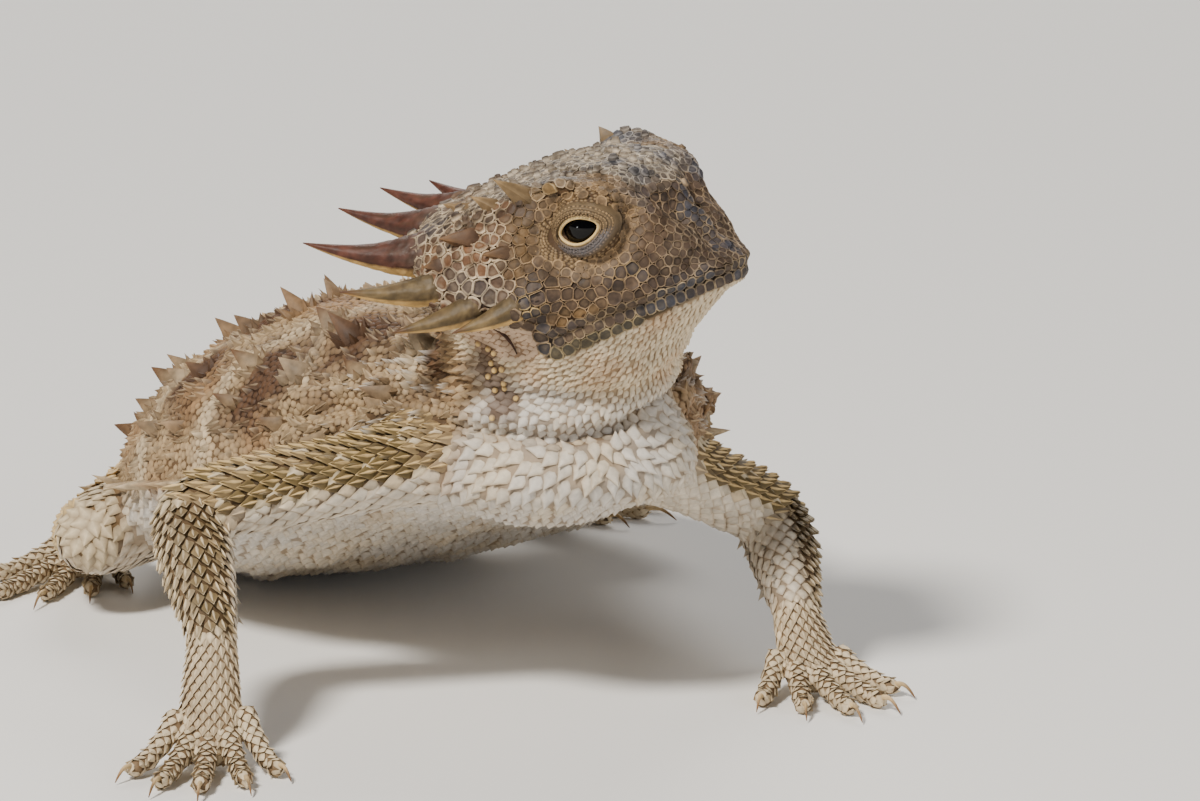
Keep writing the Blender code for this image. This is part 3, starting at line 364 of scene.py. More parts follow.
# Plates of the head's regions, and their rims; the pale rims are partly the plates' own colour and partly
# painted highlight on their raised edges
OCHRE_PLATE = (92, 70, 40)
GOLDEN_RIM = (176, 150, 104)
SNOUT_RIM = (138, 120, 98)
TEMPLE_RIM = (184, 164, 136)
LORE = (86, 67, 51)
LORE_RIM = (118, 98, 76)
HORN_FOOT_RIM = (176, 160, 138)
CROWN = (104, 92, 78)
CROWN_DARK = (66, 58, 52)
CROWN_RIM = (182, 168, 148)
BROW_GOLD = (146, 112, 58)
BROW_RIM = (186, 156, 100)
ORBIT = (96, 78, 58)
ORBIT_RIM = (146, 120, 88)
LIP_RIM = (146, 128, 100)
JAW = (62, 58, 50)
JAW_RIM = (150, 132, 98)
EAR = (176, 148, 124)
# Dark patch of the neck, also painted along the ear's slit as the shadow of its fold
EAR_DARK = (80, 58, 44)
# A dark cord laid along the fold that hides the ear: a painted shadow
EAR_FOLD_SHADOW = (58, 38, 28)
# Throat, neck, paws and keels
THROAT_TAN = (190, 166, 136)
THROAT_RIM = (150, 120, 88)
NECK_BROWN = (88, 66, 52)
NECK_BEAD = (214, 178, 112)
PAW = (204, 184, 152)
PALE_KEEL = (204, 188, 158)
# Spines, horns and claws
SPINE_BROWN = (84, 56, 36)
SPINE_FOOT = (66, 50, 38)
SPINE_FOOT_PALE = (112, 92, 64)
SPINE_TIP = (112, 84, 56)
SPINE_TIP_PALE = (148, 122, 86)
HORN_STREAK = (60, 48, 36)
HORN_FOOT = (96, 88, 80)
# Dark spots painted as the shade of the horns' pits
HORN_PIT_SHADE = (50, 38, 28)
HORN_TIP = (78, 44, 28)
CLAW_TIP = (104, 72, 44)
# Eyes and lids
PUPIL = (9, 8, 9)
IRIS_EDGE = (34, 22, 15)
LID_DARK = (44, 35, 27)
LID_TAN = (112, 94, 70)
LID_EDGE = (206, 176, 122)
LID_BLUE = (96, 100, 112)
LID_GOLD = (150, 122, 80)
BEAD_TAN = (124, 102, 74)
BEAD_BLUE = (86, 90, 102)


def linear(colour):
    """A colour as seen, 0 to 255, as the linear shares that a shader takes."""
    return (np.asarray(colour, dtype=float) / 255) ** 2.2


def mix(low, high, share):
    """Two colours blended by a share for every point."""
    share = np.asarray(share)[..., None]
    return np.asarray(low) * (1 - share) + np.asarray(high) * share


def ramp(low, high, values):
    """0 below low, 1 above high and a smooth step between."""
    share = np.clip((values - low) / (high - low), 0, 1)
    return share * share * (3 - 2 * share)


def bell(distance, width):
    """A bell curve of a distance, 1 at its middle."""
    return np.exp(-(distance / width) ** 2)


def unit(vectors):
    """The same directions with length one."""
    vectors = np.asarray(vectors, dtype=float)
    return vectors / np.maximum(np.linalg.norm(vectors, axis=-1, keepdims=True), 1e-12)


def noise(points, size, seed=0):
    """Random values from -1 to 1 on a cubic lattice of the given size, blended by a smooth step."""
    grid = np.asarray(points) / size + 1000.0
    cell = np.floor(grid).astype(np.int64)
    part = grid - cell
    part = part * part * (3 - 2 * part)
    total = np.zeros(grid.shape[:-1])
    for corner in range(8):
        step = np.array([corner & 1, corner >> 1 & 1, corner >> 2 & 1])
        mixed = ((cell + step) * (73856093, 19349663, 83492791)).sum(axis=-1) + seed * 2654435
        mixed = ((mixed ^ (mixed >> 13)) * 1274126177) & 0x7FFFFFFF
        value = (mixed ^ (mixed >> 16)) & 0xFFFF
        total += np.prod(np.where(step, part, 1 - part), axis=-1) * value
    return total / 32767.5 - 1


def smooth(rows, places, loose=False):
    """Values at the given places on a smooth line through rows of (place, value, ...).

    Between two rows the line is a cubic, whose slope at a row is the harmonic mean of the slopes beside
    it, so the line never swings past a row's value, or their plain mean for a loose line.
    """
    rows = np.asarray(rows, dtype=float)
    knots = rows[:, 0]
    values = rows[:, 1:]
    steps = np.diff(knots)[:, None]
    slopes = np.diff(values, axis=0) / steps
    before = slopes[:-1]
    after = slopes[1:]
    if loose:
        inner = (before + after) / 2
    else:
        same_way = before * after > 0
        total = np.where(same_way, before + after, 1.0)
        inner = np.where(same_way, 2 * before * after / total, 0.0)
    tangents = np.vstack([slopes[:1], inner, slopes[-1:]])
    places = np.asarray(places, dtype=float)
    span = np.clip(np.searchsorted(knots, places) - 1, 0, len(knots) - 2)
    width = steps[span]
    u = ((places - knots[span]) / width[:, 0])[:, None]
    return (
        (2 * u**3 - 3 * u**2 + 1) * values[span]
        + (u**3 - 2 * u**2 + u) * width * tangents[span]
        + (3 * u**2 - 2 * u**3) * values[span + 1]
        + (u**3 - u**2) * width * tangents[span + 1]
    )


def end_spacing(count, ends=0.12):
    """Places from 0 to 1 that draw closer towards both ends."""
    even = np.linspace(0, 1, count)
    return even * (1 - ends) + ends * (1 - np.cos(even * math.pi)) / 2


def frames(centres, up_hint):
    """Side and up directions square to a line of points, with up as near the hint as it can be."""
    along = unit(np.gradient(centres, axis=0))
    side = unit(np.cross(along, np.broadcast_to(up_hint, along.shape)))
    return side, np.cross(side, along)


def head_axes():
    """Forward, left and up directions of the turned, raised and tilted head."""
    yaw, pitch, roll = (math.radians(angle) for angle in (HEAD_YAW, HEAD_PITCH, HEAD_ROLL))
    forward = np.array([math.sin(yaw) * math.cos(pitch), -math.cos(yaw) * math.cos(pitch), math.sin(pitch)])
    level = np.array([math.cos(yaw), math.sin(yaw), 0.0])
    above = np.cross(forward, level)
    left = math.cos(roll) * level + math.sin(roll) * above
    return np.stack([forward, left, np.cross(forward, left)])


HEAD_AXES = head_axes()


def from_head(points):
    """Places in the head's frame as places in the model."""
    return np.asarray(points, dtype=float) @ HEAD_AXES + np.asarray(HEAD_CENTRE)


def to_head(points):
    """Places in the model as places in the head's frame."""
    return (np.asarray(points, dtype=float) - np.asarray(HEAD_CENTRE)) @ HEAD_AXES.T


def mirrored(point, side):
    """A place in the head's frame on its left, or the same on its right."""
    return np.array(point, dtype=float) * (1, SIGN[side], 1)


def fold_over(points, flip):
    """The same places with one axis made positive, so that both sides share one set of lines."""
    points = np.array(points)
    points[..., flip] = np.abs(points[..., flip])
    return points


def off_line(points, line):
    """Distance of points from a bent line, and how far above the nearest spot of the line they lie."""
    best = np.full(points.shape[:-1], np.inf)
    above = np.zeros(points.shape[:-1])
    for start, end in zip(np.asarray(line), np.asarray(line)[1:]):
        run = end - start
        share = np.clip(((points - start) @ run) / (run @ run), 0, 1)
        offset = points - start - share[..., None] * run
        distance = np.linalg.norm(offset, axis=-1)
        above = np.where(distance < best, offset[..., 2], above)
        best = np.minimum(best, distance)
    return best, above


def distance_from(points, place):
    """Distance of points from one spot, or from a bent line of spots."""
    if np.ndim(place) == 1:
        return np.linalg.norm(points - np.asarray(place), axis=-1)
    return off_line(points, place)[0]


def bell_about(points, place, width):
    """A bell curve of the distance from one spot, or from a bent line of spots."""
    return bell(distance_from(points, place), width)


def gone_along(line):
    """How far each point of a line lies along it."""
    return np.concatenate([[0], np.cumsum(np.linalg.norm(np.diff(line, axis=0), axis=1))])


def spots_along(line, pitch, first=0.0):
    """Points a pitch apart along a bent line, from a first distance on."""
    gone = gone_along(line)
    places = np.arange(first, gone[-1], pitch)
    return np.stack([np.interp(places, gone, column) for column in np.transpose(line)], axis=1)


def mouth_height(forward):
    """Height of the mouth line at places forward of its corner, in the head's frame."""
    line = MOUTH[::-1]
    return np.interp(forward, [place[0] for place in line], [place[1] for place in line])


def head_relief(points):
    """The skull with its brow ridges raised, each by a bell curve of the distance from its line."""
    folded = fold_over(points, 1)
    brow = bell_about(folded, BROW, BROW_WIDTH)
    raised = folded + brow[..., None] * BROW_HEIGHT * unit(BROW_WAY)
    side = np.where(points[..., 1] < 0, -1.0, 1.0)
    raised[..., 1] = np.where(np.abs(points[..., 1]) < 0.05, 0.0, raised[..., 1]) * side
    return raised


def on_floor(points):
    """Points below the floor lifted onto it."""
    points[..., 2] = np.maximum(points[..., 2], FLOOR)
    return points


class Loft:
    """A body part as rings along a line. Its surface is a function of u, 0 to 1 along it, and v, the
    turn about it: centre + side * width * |cos v|^(2/power) + up * height * |sin v|^(2/power).
    """

    def __init__(self, kind, centres, side, up, sizes, powers=(2.0, 2.0), shape=None, coat=COAT):
        sizes = np.maximum(np.asarray(sizes) - coat, 0.04)
        self.kind = kind
        self.table = np.column_stack([centres, side, up, sizes])
        self.powers = powers
        self.shape = shape
        self.steps = gone_along(centres)
        self.tile = (0.0, 0.0, 1.0, 1.0)

    def at(self, u, v):
        """Places on the surface."""
        place = np.asarray(u, dtype=float) * self.steps[-1]
        row = np.stack([np.interp(place, self.steps, column) for column in self.table.T], axis=-1)
        wide, rise, drop = row[..., 9], row[..., 10], row[..., 11]
        across = np.cos(v)
        height = np.sin(v)
        power = np.where(height >= 0, 2 / self.powers[0], 2 / self.powers[1])
        reach = np.where(height >= 0, rise, drop)
        x = wide * np.sign(across) * np.abs(across) ** power
        z = reach * np.sign(height) * np.abs(height) ** power
        points = row[..., 0:3] + row[..., 3:6] * x[..., None] + row[..., 6:9] * z[..., None]
        return self.shape(points) if self.shape else points

    def grid(self, rings, sides):
        """A closed mesh of the surface, with a pole beyond each end, and u, v of every face."""
        u = end_spacing(rings, 0.5)
        v = 2 * math.pi * np.arange(sides) / sides
        points = self.at(u[:, None], v)
        ends = []
        for end, inner in ((0, 1), (-1, -2)):
            middle = points[end].mean(axis=0)
            reach = np.linalg.norm(points[end] - middle, axis=1).mean()
            ends.append(middle + unit(middle - points[inner].mean(axis=0)) * reach * POLE_REACH)
        ends = np.stack(ends)
        if self.shape is on_floor:
            ends = on_floor(ends)
        triangles = ring_faces(rings, sides)
        turn = v + math.pi / sides
        face_u = np.concatenate([np.repeat((u[:-1] + u[1:]) / 2, 2 * sides), np.zeros(sides), np.ones(sides)])
        face_v = np.concatenate([np.repeat(np.tile(turn, rings - 1), 2), turn, turn])
        return np.vstack([points.reshape(-1, 3), ends]), triangles, face_u, face_v


def ring_faces(rings, sides):
    """Triangles of a closed form: rings of points from bottom to top, then a bottom and a top pole."""
    near = np.arange(sides)
    far = (near + 1) % sides
    low = (np.arange(rings - 1) * sides)[:, None]
    first = np.stack([low + near, low + far, low + far + sides], axis=-1)
    second = np.stack([low + near, low + far + sides, low + near + sides], axis=-1)
    walls = np.stack([first, second], axis=2).reshape(-1, 3)
    bottom = np.stack([far, near, np.full(sides, rings * sides)], axis=-1)
    end = (rings - 1) * sides
    top = np.stack([end + near, end + far, np.full(sides, rings * sides + 1)], axis=-1)
    return np.vstack([walls, bottom, top])


def rows_loft(kind, rows, places, middle, across, powers, shape):
    """Trunk or skull from rows of (place, half width, top, widest level, underside)."""
    half_width, top, widest, under = smooth(rows, places).T
    centres = np.stack([*middle, widest], axis=1)
    side = np.broadcast_to(across, centres.shape)
    up = np.broadcast_to((0.0, 0.0, 1.0), centres.shape)
    sizes = np.stack([half_width, top - widest, widest - under], axis=1)
    return Loft(kind, centres, side, up, sizes, powers, shape)


def line_loft(name, rows, up_hint, shape=None):
    """A body part along rows of (x, y, z, half width, height above, height below)."""
    table = np.column_stack([np.linspace(0, 1, len(rows)), rows])
    values = smooth(table, np.linspace(0, 1, 120), loose=True)
    centres = values[:, :3]
    side, up = frames(centres, up_hint)
    return Loft(name, centres, side, up, values[:, 3:], shape=shape)


def limb_loft(name, start, end):
    """One length of a limb between two joints, with rounded ends."""
    share = end_spacing(60, 0.6)
    wide, tall = smooth(LIMB_PROFILES[name], share).T
    start = np.asarray(start, dtype=float)
    end = np.asarray(end, dtype=float)
    run = unit(end - start)
    line = start + (end - start) * share[:, None]
    reach, dome = np.array(LIMB_DOME).T
    centres = np.vstack([line[0] - run * wide[0] * reach[:, None], line,
                         line[-1] + run * wide[-1] * reach[::-1, None]])
    wide = np.concatenate([wide[0] * dome, wide, wide[-1] * dome[::-1]])
    tall = np.concatenate([tall[0] * dome, tall, tall[-1] * dome[::-1]])
    side, up = frames(centres, (0.0, 0.05, 1.0))
    return Loft(name, centres, side, up, np.stack([wide, tall, tall], axis=1))


def heading(side, turn):
    """Level direction at a turn outwards from straight ahead, and the level direction to its outer side."""
    angle = math.radians(turn)
    ahead = np.array([SIGN[side] * math.sin(angle), -math.cos(angle), 0.0])
    return ahead, np.array([SIGN[side] * math.cos(angle), math.sin(angle), 0.0])


def digit_line(start, ahead, length, share):
    """The line of a digit: its height falls as the cube of what is left, and its claw curves down."""
    line = start + ahead * (length + CLAW_LENGTH) * share[:, None]
    line[:, 2] = PAD_HEIGHT + (start[2] - PAD_HEIGHT) * (1 - share) ** 3
    claw = np.clip((share - CLAW_START) / (1 - CLAW_START), 0, 1)
    line[:, 2] += CLAW_ARCH * np.sin(math.pi * claw) - (PAD_HEIGHT - CLAW_TIP_HEIGHT) * claw**2
    return line


def paw_loft(kind, line, sizes):
    """The palm or a digit along a line, flat where it rests on the floor."""
    across, up = frames(line, (0.0, 0.0, 1.0))
    return Loft(kind, line, across, up, sizes, shape=on_floor, coat=DIGIT_COAT)


def paw_lofts(kind, side, ankle, turn):
    """The palm and the five digits of a hand or foot, and for each digit where its claw goes."""
    ahead, outer = heading(side, turn)
    ankle = np.asarray(ankle, dtype=float)
    share = np.linspace(0, 1, 40)
    line = ankle + ahead * PALM_LENGTH[kind] * share[:, None]
    line[:, 2] = KNUCKLE_HEIGHT + (ankle[2] - KNUCKLE_HEIGHT) * (1 - share) ** 1.6
    wide = WRIST_RADIUS + (PALM_HALF_WIDTH - WRIST_RADIUS) * np.sin(share * math.pi * 0.62)
    tall = WRIST_RADIUS + (PALM_THICKNESS / 2 - WRIST_RADIUS) * share**0.7
    lofts = [paw_loft("palm", line, np.stack([wide, tall, tall], axis=1))]
    claws = []
    for digit_turn, length, reach in DIGITS[kind]:
        way, _ = heading(side, turn + digit_turn)
        aside = PALM_HALF_WIDTH * DIGIT_SPREAD * math.sin(math.radians(digit_turn * 1.35))
        start = ankle + (ahead * 0.7 + way * 0.3) * reach + outer * aside
        start[2] = np.interp(reach * 0.85, line @ ahead - ankle @ ahead, line[:, 2])
        along = np.linspace(0, DIGIT_SHAPE[-1][0], 40)
        radius = smooth(DIGIT_SHAPE, along)[:, 0]
        radius = radius + 0.07 * np.sin(along * 30) * (along > 0.15)
        digit = digit_line(start, way, length, along)
        lofts.append(paw_loft("digit", digit, np.stack([radius] * 3, axis=1)))
        claws.append((start, way, length))
    return lofts, claws


def all_lofts():
    """Every part of the body, with its tile of the shared unwrap, and the claws."""
    behind = np.linspace(TRUNK[0][0], TRUNK[-1][0], 200)
    forward = SKULL[0][0] + (SKULL[-1][0] - SKULL[0][0]) * end_spacing(200, 0.5)
    none = np.zeros(200)
    lofts = [
        rows_loft("trunk", TRUNK, behind, (none, behind + SHOULDER_Y), (1.0, 0.0, 0.0), TRUNK_POWERS,
                  on_floor),
        rows_loft("skull", SKULL, forward, (forward, none), (0.0, -1.0, 0.0), SKULL_POWERS,
                  lambda points: from_head(head_relief(points))),
        line_loft("neck", NECK, (0.0, 1.0, 0.2)),
        line_loft("tail", TAIL, (0.0, 0.0, 1.0), on_floor),
    ]
    claws = []
    for side in SIDES:
        shoulder, elbow, wrist = ARM_JOINTS[side]
        hip, knee, ankle = LEG_JOINTS[side]
        lofts += [limb_loft("upper_arm", shoulder, elbow), limb_loft("forearm", elbow, wrist),
                  limb_loft("thigh", hip, knee), limb_loft("shank", knee, ankle)]
        for kind, end, turn in (("hand", wrist, HAND_TURN[side]), ("foot", ankle, FOOT_TURN[side])):
            paws, ends = paw_lofts(kind, side, end, turn)
            lofts += paws
            claws += ends
    lofts[TRUNK_LOFT].tile = (0.01, 0.01, 0.49, 0.54)
    lofts[HEAD_LOFT].tile = (0.51, 0.01, 0.99, 0.54)
    for number, loft in enumerate(lofts[2:]):
        row, column = divmod(number, 6)
        loft.tile = (0.01 + column * 0.165, 0.56 + row * 0.073, 0.155 + column * 0.165, 0.62 + row * 0.073)
    return lofts, claws


def summed(index, values, count):
    """Sums of the rows of values that share an index."""
    return np.stack([np.bincount(index, column, count) for column in values.T], axis=1)


def relaxed(values, edges, weights, rounds):
    """Values moved towards the mean of their neighbours, by a weight for each point, again and again."""
    first, second = edges.T
    count = len(values)
    degree = (np.bincount(first, minlength=count) + np.bincount(second, minlength=count))[:, None]
    weights = np.broadcast_to(weights, count)[:, None]
    for _ in range(rounds):
        total = summed(first, values[second], count) + summed(second, values[first], count)
        values = values + weights * (total / degree - values)
    return values


def blurred(values, edges, weight, rounds):
    """One value for each point of the skin, blurred over its neighbours."""
    return relaxed(np.asarray(values, dtype=float)[:, None], edges, weight, rounds)[:, 0]


def flattened(way, normal):
    """Directions laid flat on surfaces with the given normals."""
    return unit(way - normal * (way * normal).sum(axis=1, keepdims=True))


def joined(batches):
    """Batches of points, triangles and further arrays, as one batch."""
    offsets = np.cumsum([0] + [len(batch[0]) for batch in batches])
    triangles = np.vstack([batch[1] + offset for batch, offset in zip(batches, offsets)])
    points, _, *others = zip(*batches)
    return [np.vstack(points), triangles, *(np.concatenate(values) for values in others)]


def outward(points, triangles):
    """The triangles of a closed form, turned so that they face outwards."""
    a, b, c = (points[triangles[:, corner]] - points[0] for corner in range(3))
    return triangles if (a * np.cross(b, c)).sum() > 0 else triangles[:, ::-1]


def tube(line, wide, tall, hint, sides, relief=None):
    """A closed form of rings about a line: line + side * wide * cos(turn) + up * tall * sin(turn)."""
    across, up = frames(line, hint)
    turn = 2 * math.pi * np.arange(sides) / sides
    rings = (across[:, None] * (wide[:, None] * np.cos(turn))[..., None]
             + up[:, None] * (tall[:, None] * np.sin(turn))[..., None])
    if relief is not None:
        rings = rings * relief(line[:, None] + rings)[..., None]
    rings = line[:, None] + rings
    ends = np.stack([line[0] - unit(line[1] - line[0]) * wide[0] * 0.4,
                     line[-1] + unit(line[-1] - line[-2]) * wide[-1]])
    points = np.vstack([rings.reshape(-1, 3), ends])
    return points, outward(points, ring_faces(len(line), sides))


def new_mesh(name, points, triangles):
    """A mesh from points in millimetres and triangles."""
    mesh = bpy.data.meshes.new(name)
    mesh.vertices.add(len(points))
    mesh.vertices.foreach_set("co", (np.asarray(points) * MM).astype(np.float32).ravel())
    mesh.loops.add(triangles.size)
    mesh.loops.foreach_set("vertex_index", triangles.astype(np.int32).ravel())
    mesh.polygons.add(len(triangles))
    mesh.polygons.foreach_set("loop_start", np.arange(0, triangles.size, 3, dtype=np.int32))
    mesh.update(calc_edges=True)
    return mesh


def read_back(collection, attribute):
    """The three numbers that every point of a mesh holds."""
    values = np.empty(len(collection) * 3, dtype=np.float32)
    collection.foreach_get(attribute, values)
    return values.reshape(-1, 3).astype(float)


def move_points(mesh, points):
    """Gives a mesh new places for its points, in millimetres."""
    mesh.vertices.foreach_set("co", (points * MM).astype(np.float32).ravel())
    mesh.update()


def eye_frame(points, side):
    """Places about an eye: along its tilted opening, outwards and up."""
    local = mirrored(to_head(points) - mirrored(EYE_CENTRE, side), side)
    lean = math.radians(LID_TILT)
    along = local[..., 0] * math.cos(lean) + local[..., 2] * math.sin(lean)
    up = local[..., 2] * math.cos(lean) - local[..., 0] * math.sin(lean)
    return along, local[..., 1], up


def from_eye(along, outer, up, side):
    """Places about an eye as places in the model."""
    lean = math.radians(LID_TILT)
    x = along * math.cos(lean) - up * math.sin(lean)
    z = up * math.cos(lean) + along * math.sin(lean)
    y = np.broadcast_to(outer, x.shape)
    return from_head(mirrored(EYE_CENTRE, side) + mirrored(np.stack([x, y, z], axis=-1), side))


def ball(radius, rings, sides, side, bulge=0.0):
    """A sphere about an eye with its poles outwards, and the angle from its outer pole."""
    angle = (math.pi * (np.arange(rings) + 1) / (rings + 1))[:, None]
    turn = 2 * math.pi * np.arange(sides) / sides
    reach = radius * (1 + bulge * bell(angle, 0.5))
    points = from_eye(reach * np.sin(angle) * np.cos(turn), reach * np.cos(angle) * np.ones(sides),
                      reach * np.sin(angle) * np.sin(turn), side)
    poles = from_eye(np.zeros(2), np.array([radius * (1 + bulge), -radius]), np.zeros(2), side)
    points = np.vstack([points.reshape(-1, 3), poles])
    angles = np.concatenate([np.repeat(angle[:, 0], sides), [0.0, math.pi]])
    return points, outward(points, ring_faces(rings, sides)), angles


def horn_form(root, tip, radius, bend, share, swell, sides, relief=None):
    """A horn or the sleeve at its foot: a cone of radius * (1 - share^1.25) along a line that bends up."""
    line = root + (tip - root) * share[:, None]
    line[:, 2] -= bend * np.sin(math.pi * np.clip(share, 0, 1))
    wide = (radius * (1 - np.clip(share, 0, 1) ** 1.25) + 0.05) * swell
    return tube(from_head(line), wide, wide * 0.84, HEAD_AXES[2], sides, relief)


def body_folds(points):
    """How far the hide rises in folds: pairs of ridge and groove as bell curves, and slack wrinkles."""
    distance, above = off_line(points, THROAT_FOLD)
    signed = distance * np.sign(above)
    rise = sum(height * bell(signed - place, width) for place, height, width in THROAT_RIDGES)
    folded = fold_over(points + 0.5 * noise(points, 3.0, 5)[:, None], 0)
    for line, height, width in SHOULDER_FOLDS:
        distance = distance_from(folded, line)
        rise += height * bell(distance, width) - 0.4 * height * bell(distance - 1.5 * width, 0.6 * width)
    slack = ramp(-45.0, -36.0, points[:, 1]) * ramp(10.0, -6.0, points[:, 1])
    stretched = points * (1.0, 0.35, 1.0)
    return rise + slack * (0.34 * noise(stretched, 2.6, 1) + 0.18 * noise(stretched, 1.3, 2))


def off_eye(folded):
    """Distance from the middle of an eye as seen from the side, and far off on the inner parts."""
    reach = np.hypot(folded[..., 0] - EYE_CENTRE[0], folded[..., 2] - EYE_CENTRE[2])
    return reach + 10 * (folded[..., 1] < 4)


def head_folds(local):
    """How far the head's skin rises: the rises of the tables, the eye sockets, and the lips."""
    folded = fold_over(local, 1)
    rise = sum(height * bell_about(folded, place, width) for place, height, width in HEAD_RISES)
    rise += sum(height * bell_about(local, place, width) for place, height, width in LEFT_RISES)
    rise -= 0.55 * bell(off_eye(folded) - 2.75, 0.75)
    below = mouth_height(folded[:, 0]) - folded[:, 2]
    before = ramp(MOUTH_CORNER - 1.0, MOUTH_CORNER + 0.5, folded[:, 0])
    rise += before * (0.22 * bell(below + 0.6, 0.45) - 0.4 * bell(below, 0.26) + 0.1 * bell(below - 0.6, 0.4))
    return rise + 0.14 * noise(folded, 1.5, 6) + 0.07 * noise(folded, 0.8, 7)


class Skin:
    """The finished skin: its points, normals, colours and body parts, and a tree for the nearest point."""


made = {}


def raw_body(lofts):
    """All body parts as closed meshes: points, triangles, and the part, u and v of each triangle."""
    sizes = {"trunk": (110, 110), "skull": (110, 110), "neck": (50, 72), "tail": (70, 44), "palm": (24, 28),
             "digit": (34, 16)}
    pieces = []

    def add(number, points, triangles, u=0.0, v=0.0):
        """Notes a closed mesh of one part."""
        pieces.append((points, triangles, *(np.full(len(triangles), value) for value in (number, u, v))))

    for number, loft in enumerate(lofts):
        add(number, *loft.grid(*sizes.get(loft.kind, (40, 36))))
    for side in SIDES:
        add(HEAD_LOFT, *ball(LID_RADIUS - COAT, 14, 28, side)[:2])
        for _, root, tip, radius, bend in HORNS:
            share = np.linspace(-0.4, 0.3, 9)
            swell = np.interp(share, (-0.4, 0.0, 0.12, 0.22, 0.3), (1.0, 1.2, 1.14, 1.04, 0.86))
            form = horn_form(mirrored(root, side), mirrored(tip, side), radius, bend, share, swell, 16)
            add(HEAD_LOFT, *form)
    return joined(pieces)


def remeshed(points, triangles, voxel, union=None):
    """Closed meshes fused into one on a fine lattice, and joined with another closed mesh where asked."""
    body = bpy.data.objects.new("fused", new_mesh("fused", points, triangles))
    bpy.context.scene.collection.objects.link(body)
    remesh = body.modifiers.new("remesh", "REMESH")
    remesh.mode = "VOXEL"
    remesh.voxel_size = voxel * MM
    if union:
        join = body.modifiers.new("join", "BOOLEAN")
        join.operation = "UNION"
        join.solver = "MANIFOLD"
        join.object = union
    mesh = bpy.data.meshes.new_from_object(body.evaluated_get(bpy.context.evaluated_depsgraph_get()))
    for used in (body, union):
        if used:
            bpy.data.objects.remove(used)
    return mesh


def grow_skin():
    """One closed skin over all body parts: fused, smoothed where they meet, and then folded."""
    skin = Skin()
    skin.lofts, skin.claws = all_lofts()
    points, triangles, part, face_u, face_v = raw_body(skin.lofts)
    kinds = np.array([loft.kind for loft in skin.lofts])
    paw = np.isin(kinds[part], ("palm", "digit"))
    paws = bpy.data.objects.new("paws", remeshed(points, triangles[paw], PAW_VOXEL))
    bpy.context.scene.collection.objects.link(paws)
    skin.mesh = remeshed(points, triangles[~paw], BODY_VOXEL, paws)
    skin.mesh.name = "skin"
    skin.mesh.materials.clear()
    edges = np.empty(len(skin.mesh.edges) * 2, dtype=np.int32)
    skin.mesh.edges.foreach_get("vertices", edges)
    skin.edges = edges.reshape(-1, 2)
    spots = read_back(skin.mesh.vertices, "co") / MM
    for _ in range(3):
        spots = relaxed(spots, skin.edges, 0.5, 1)
        spots = relaxed(spots, skin.edges, -0.52, 1)
    spots = relaxed(spots, skin.edges, joint_weights(spots), 40)
    tree = BVHTree.FromPolygons(points.tolist(), triangles.tolist())
    found = np.array([tree.find_nearest(Vector(spot))[2] for spot in spots])
    skin.label = part[found]
    skin.kind = kinds[skin.label]
    local = to_head(spots)
    skin.plated = (skin.label == HEAD_LOFT) & (local[:, 2] > np.interp(local[:, 0], *np.array(PLATE_EDGE).T))
    move_points(skin.mesh, spots)
    normals = read_back(skin.mesh.vertex_normals, "vector")
    on_head = blurred(skin.label == HEAD_LOFT, skin.edges, 0.5, 12)
    on_body = blurred(np.isin(skin.label, (TRUNK_LOFT, NECK_LOFT)) | (skin.label == HEAD_LOFT) & ~skin.plated,
                      skin.edges, 0.5, 20)
    spots = spots + normals * (body_folds(spots) * on_body + head_folds(local) * on_head)[:, None]
    spots = relaxed(spots, skin.edges, 0.35, 2)
    spots = fit_lids(spots)
    spots[:, 2] = np.maximum(spots[:, 2], FLOOR + 0.05)
    move_points(skin.mesh, spots)
    skin.spots = spots
    skin.normals = read_back(skin.mesh.vertex_normals, "vector")
    skin.mesh.calc_loop_triangles()
    corners = np.empty(len(skin.mesh.loop_triangles) * 3, dtype=np.int32)
    skin.mesh.loop_triangles.foreach_get("vertices", corners)
    skin.corners = corners.reshape(-1, 3)
    skin.tree = BVHTree.FromPolygons(spots.tolist(), skin.corners.tolist())
    place_on_atlas(skin, face_u[found], face_v[found])
    skin.colour, skin.white = painted(skin)
    return skin


def fit_lids(spots):
    """The skin round each eye drawn to the sphere of the lids, and behind the eyeball in their opening."""
    for side in SIDES:
        along, outer, up = eye_frame(spots, side)
        reach = np.maximum(np.sqrt(along**2 + outer**2 + up**2), 0.01)
        share = ramp(1.6, 1.0, np.hypot(along / LID_REACH[0], up / LID_REACH[1])) * (outer > 0.3)
        opened = np.hypot(along / (LID_OPENING[0] + 0.42), up / (LID_OPENING[1] + 0.42)) < 1
        scale = 1 + share * (np.where(opened, EYE_RADIUS - 0.3, LID_RADIUS - 0.2) / reach - 1)
        spots = from_eye(along * scale, outer * scale, up * scale, side)
    return spots


def joint_weights(points):
    """How strongly the skin is smoothed: most where one part of the body grows out of another."""
    weights = np.zeros(len(points))
    spots = [((0.0, -47.0, 22.0), 7.0), ((0.0, -40.0, 25.0), 7.0), ((0.0, 12.0, 5.0), 5.0)]
    for side in SIDES:
        shoulder, elbow, wrist = (np.array(joint) for joint in ARM_JOINTS[side])
        hip, knee, ankle = (np.array(joint) for joint in LEG_JOINTS[side])
        spots += [(shoulder + (elbow - shoulder) * 0.35, 4.5), (elbow, 2.4), (wrist, 1.2),
                  (hip + (knee - hip) * 0.55, 5.0), (knee, 2.6), (ankle, 1.2),
                  ((SIGN[side] * 7.0, -46.0, 22.5), 5.0)]
    for place, reach in spots:
        weights = np.maximum(weights, bell_about(points, place, reach))
    return np.clip(weights * 0.6, 0, 0.6)


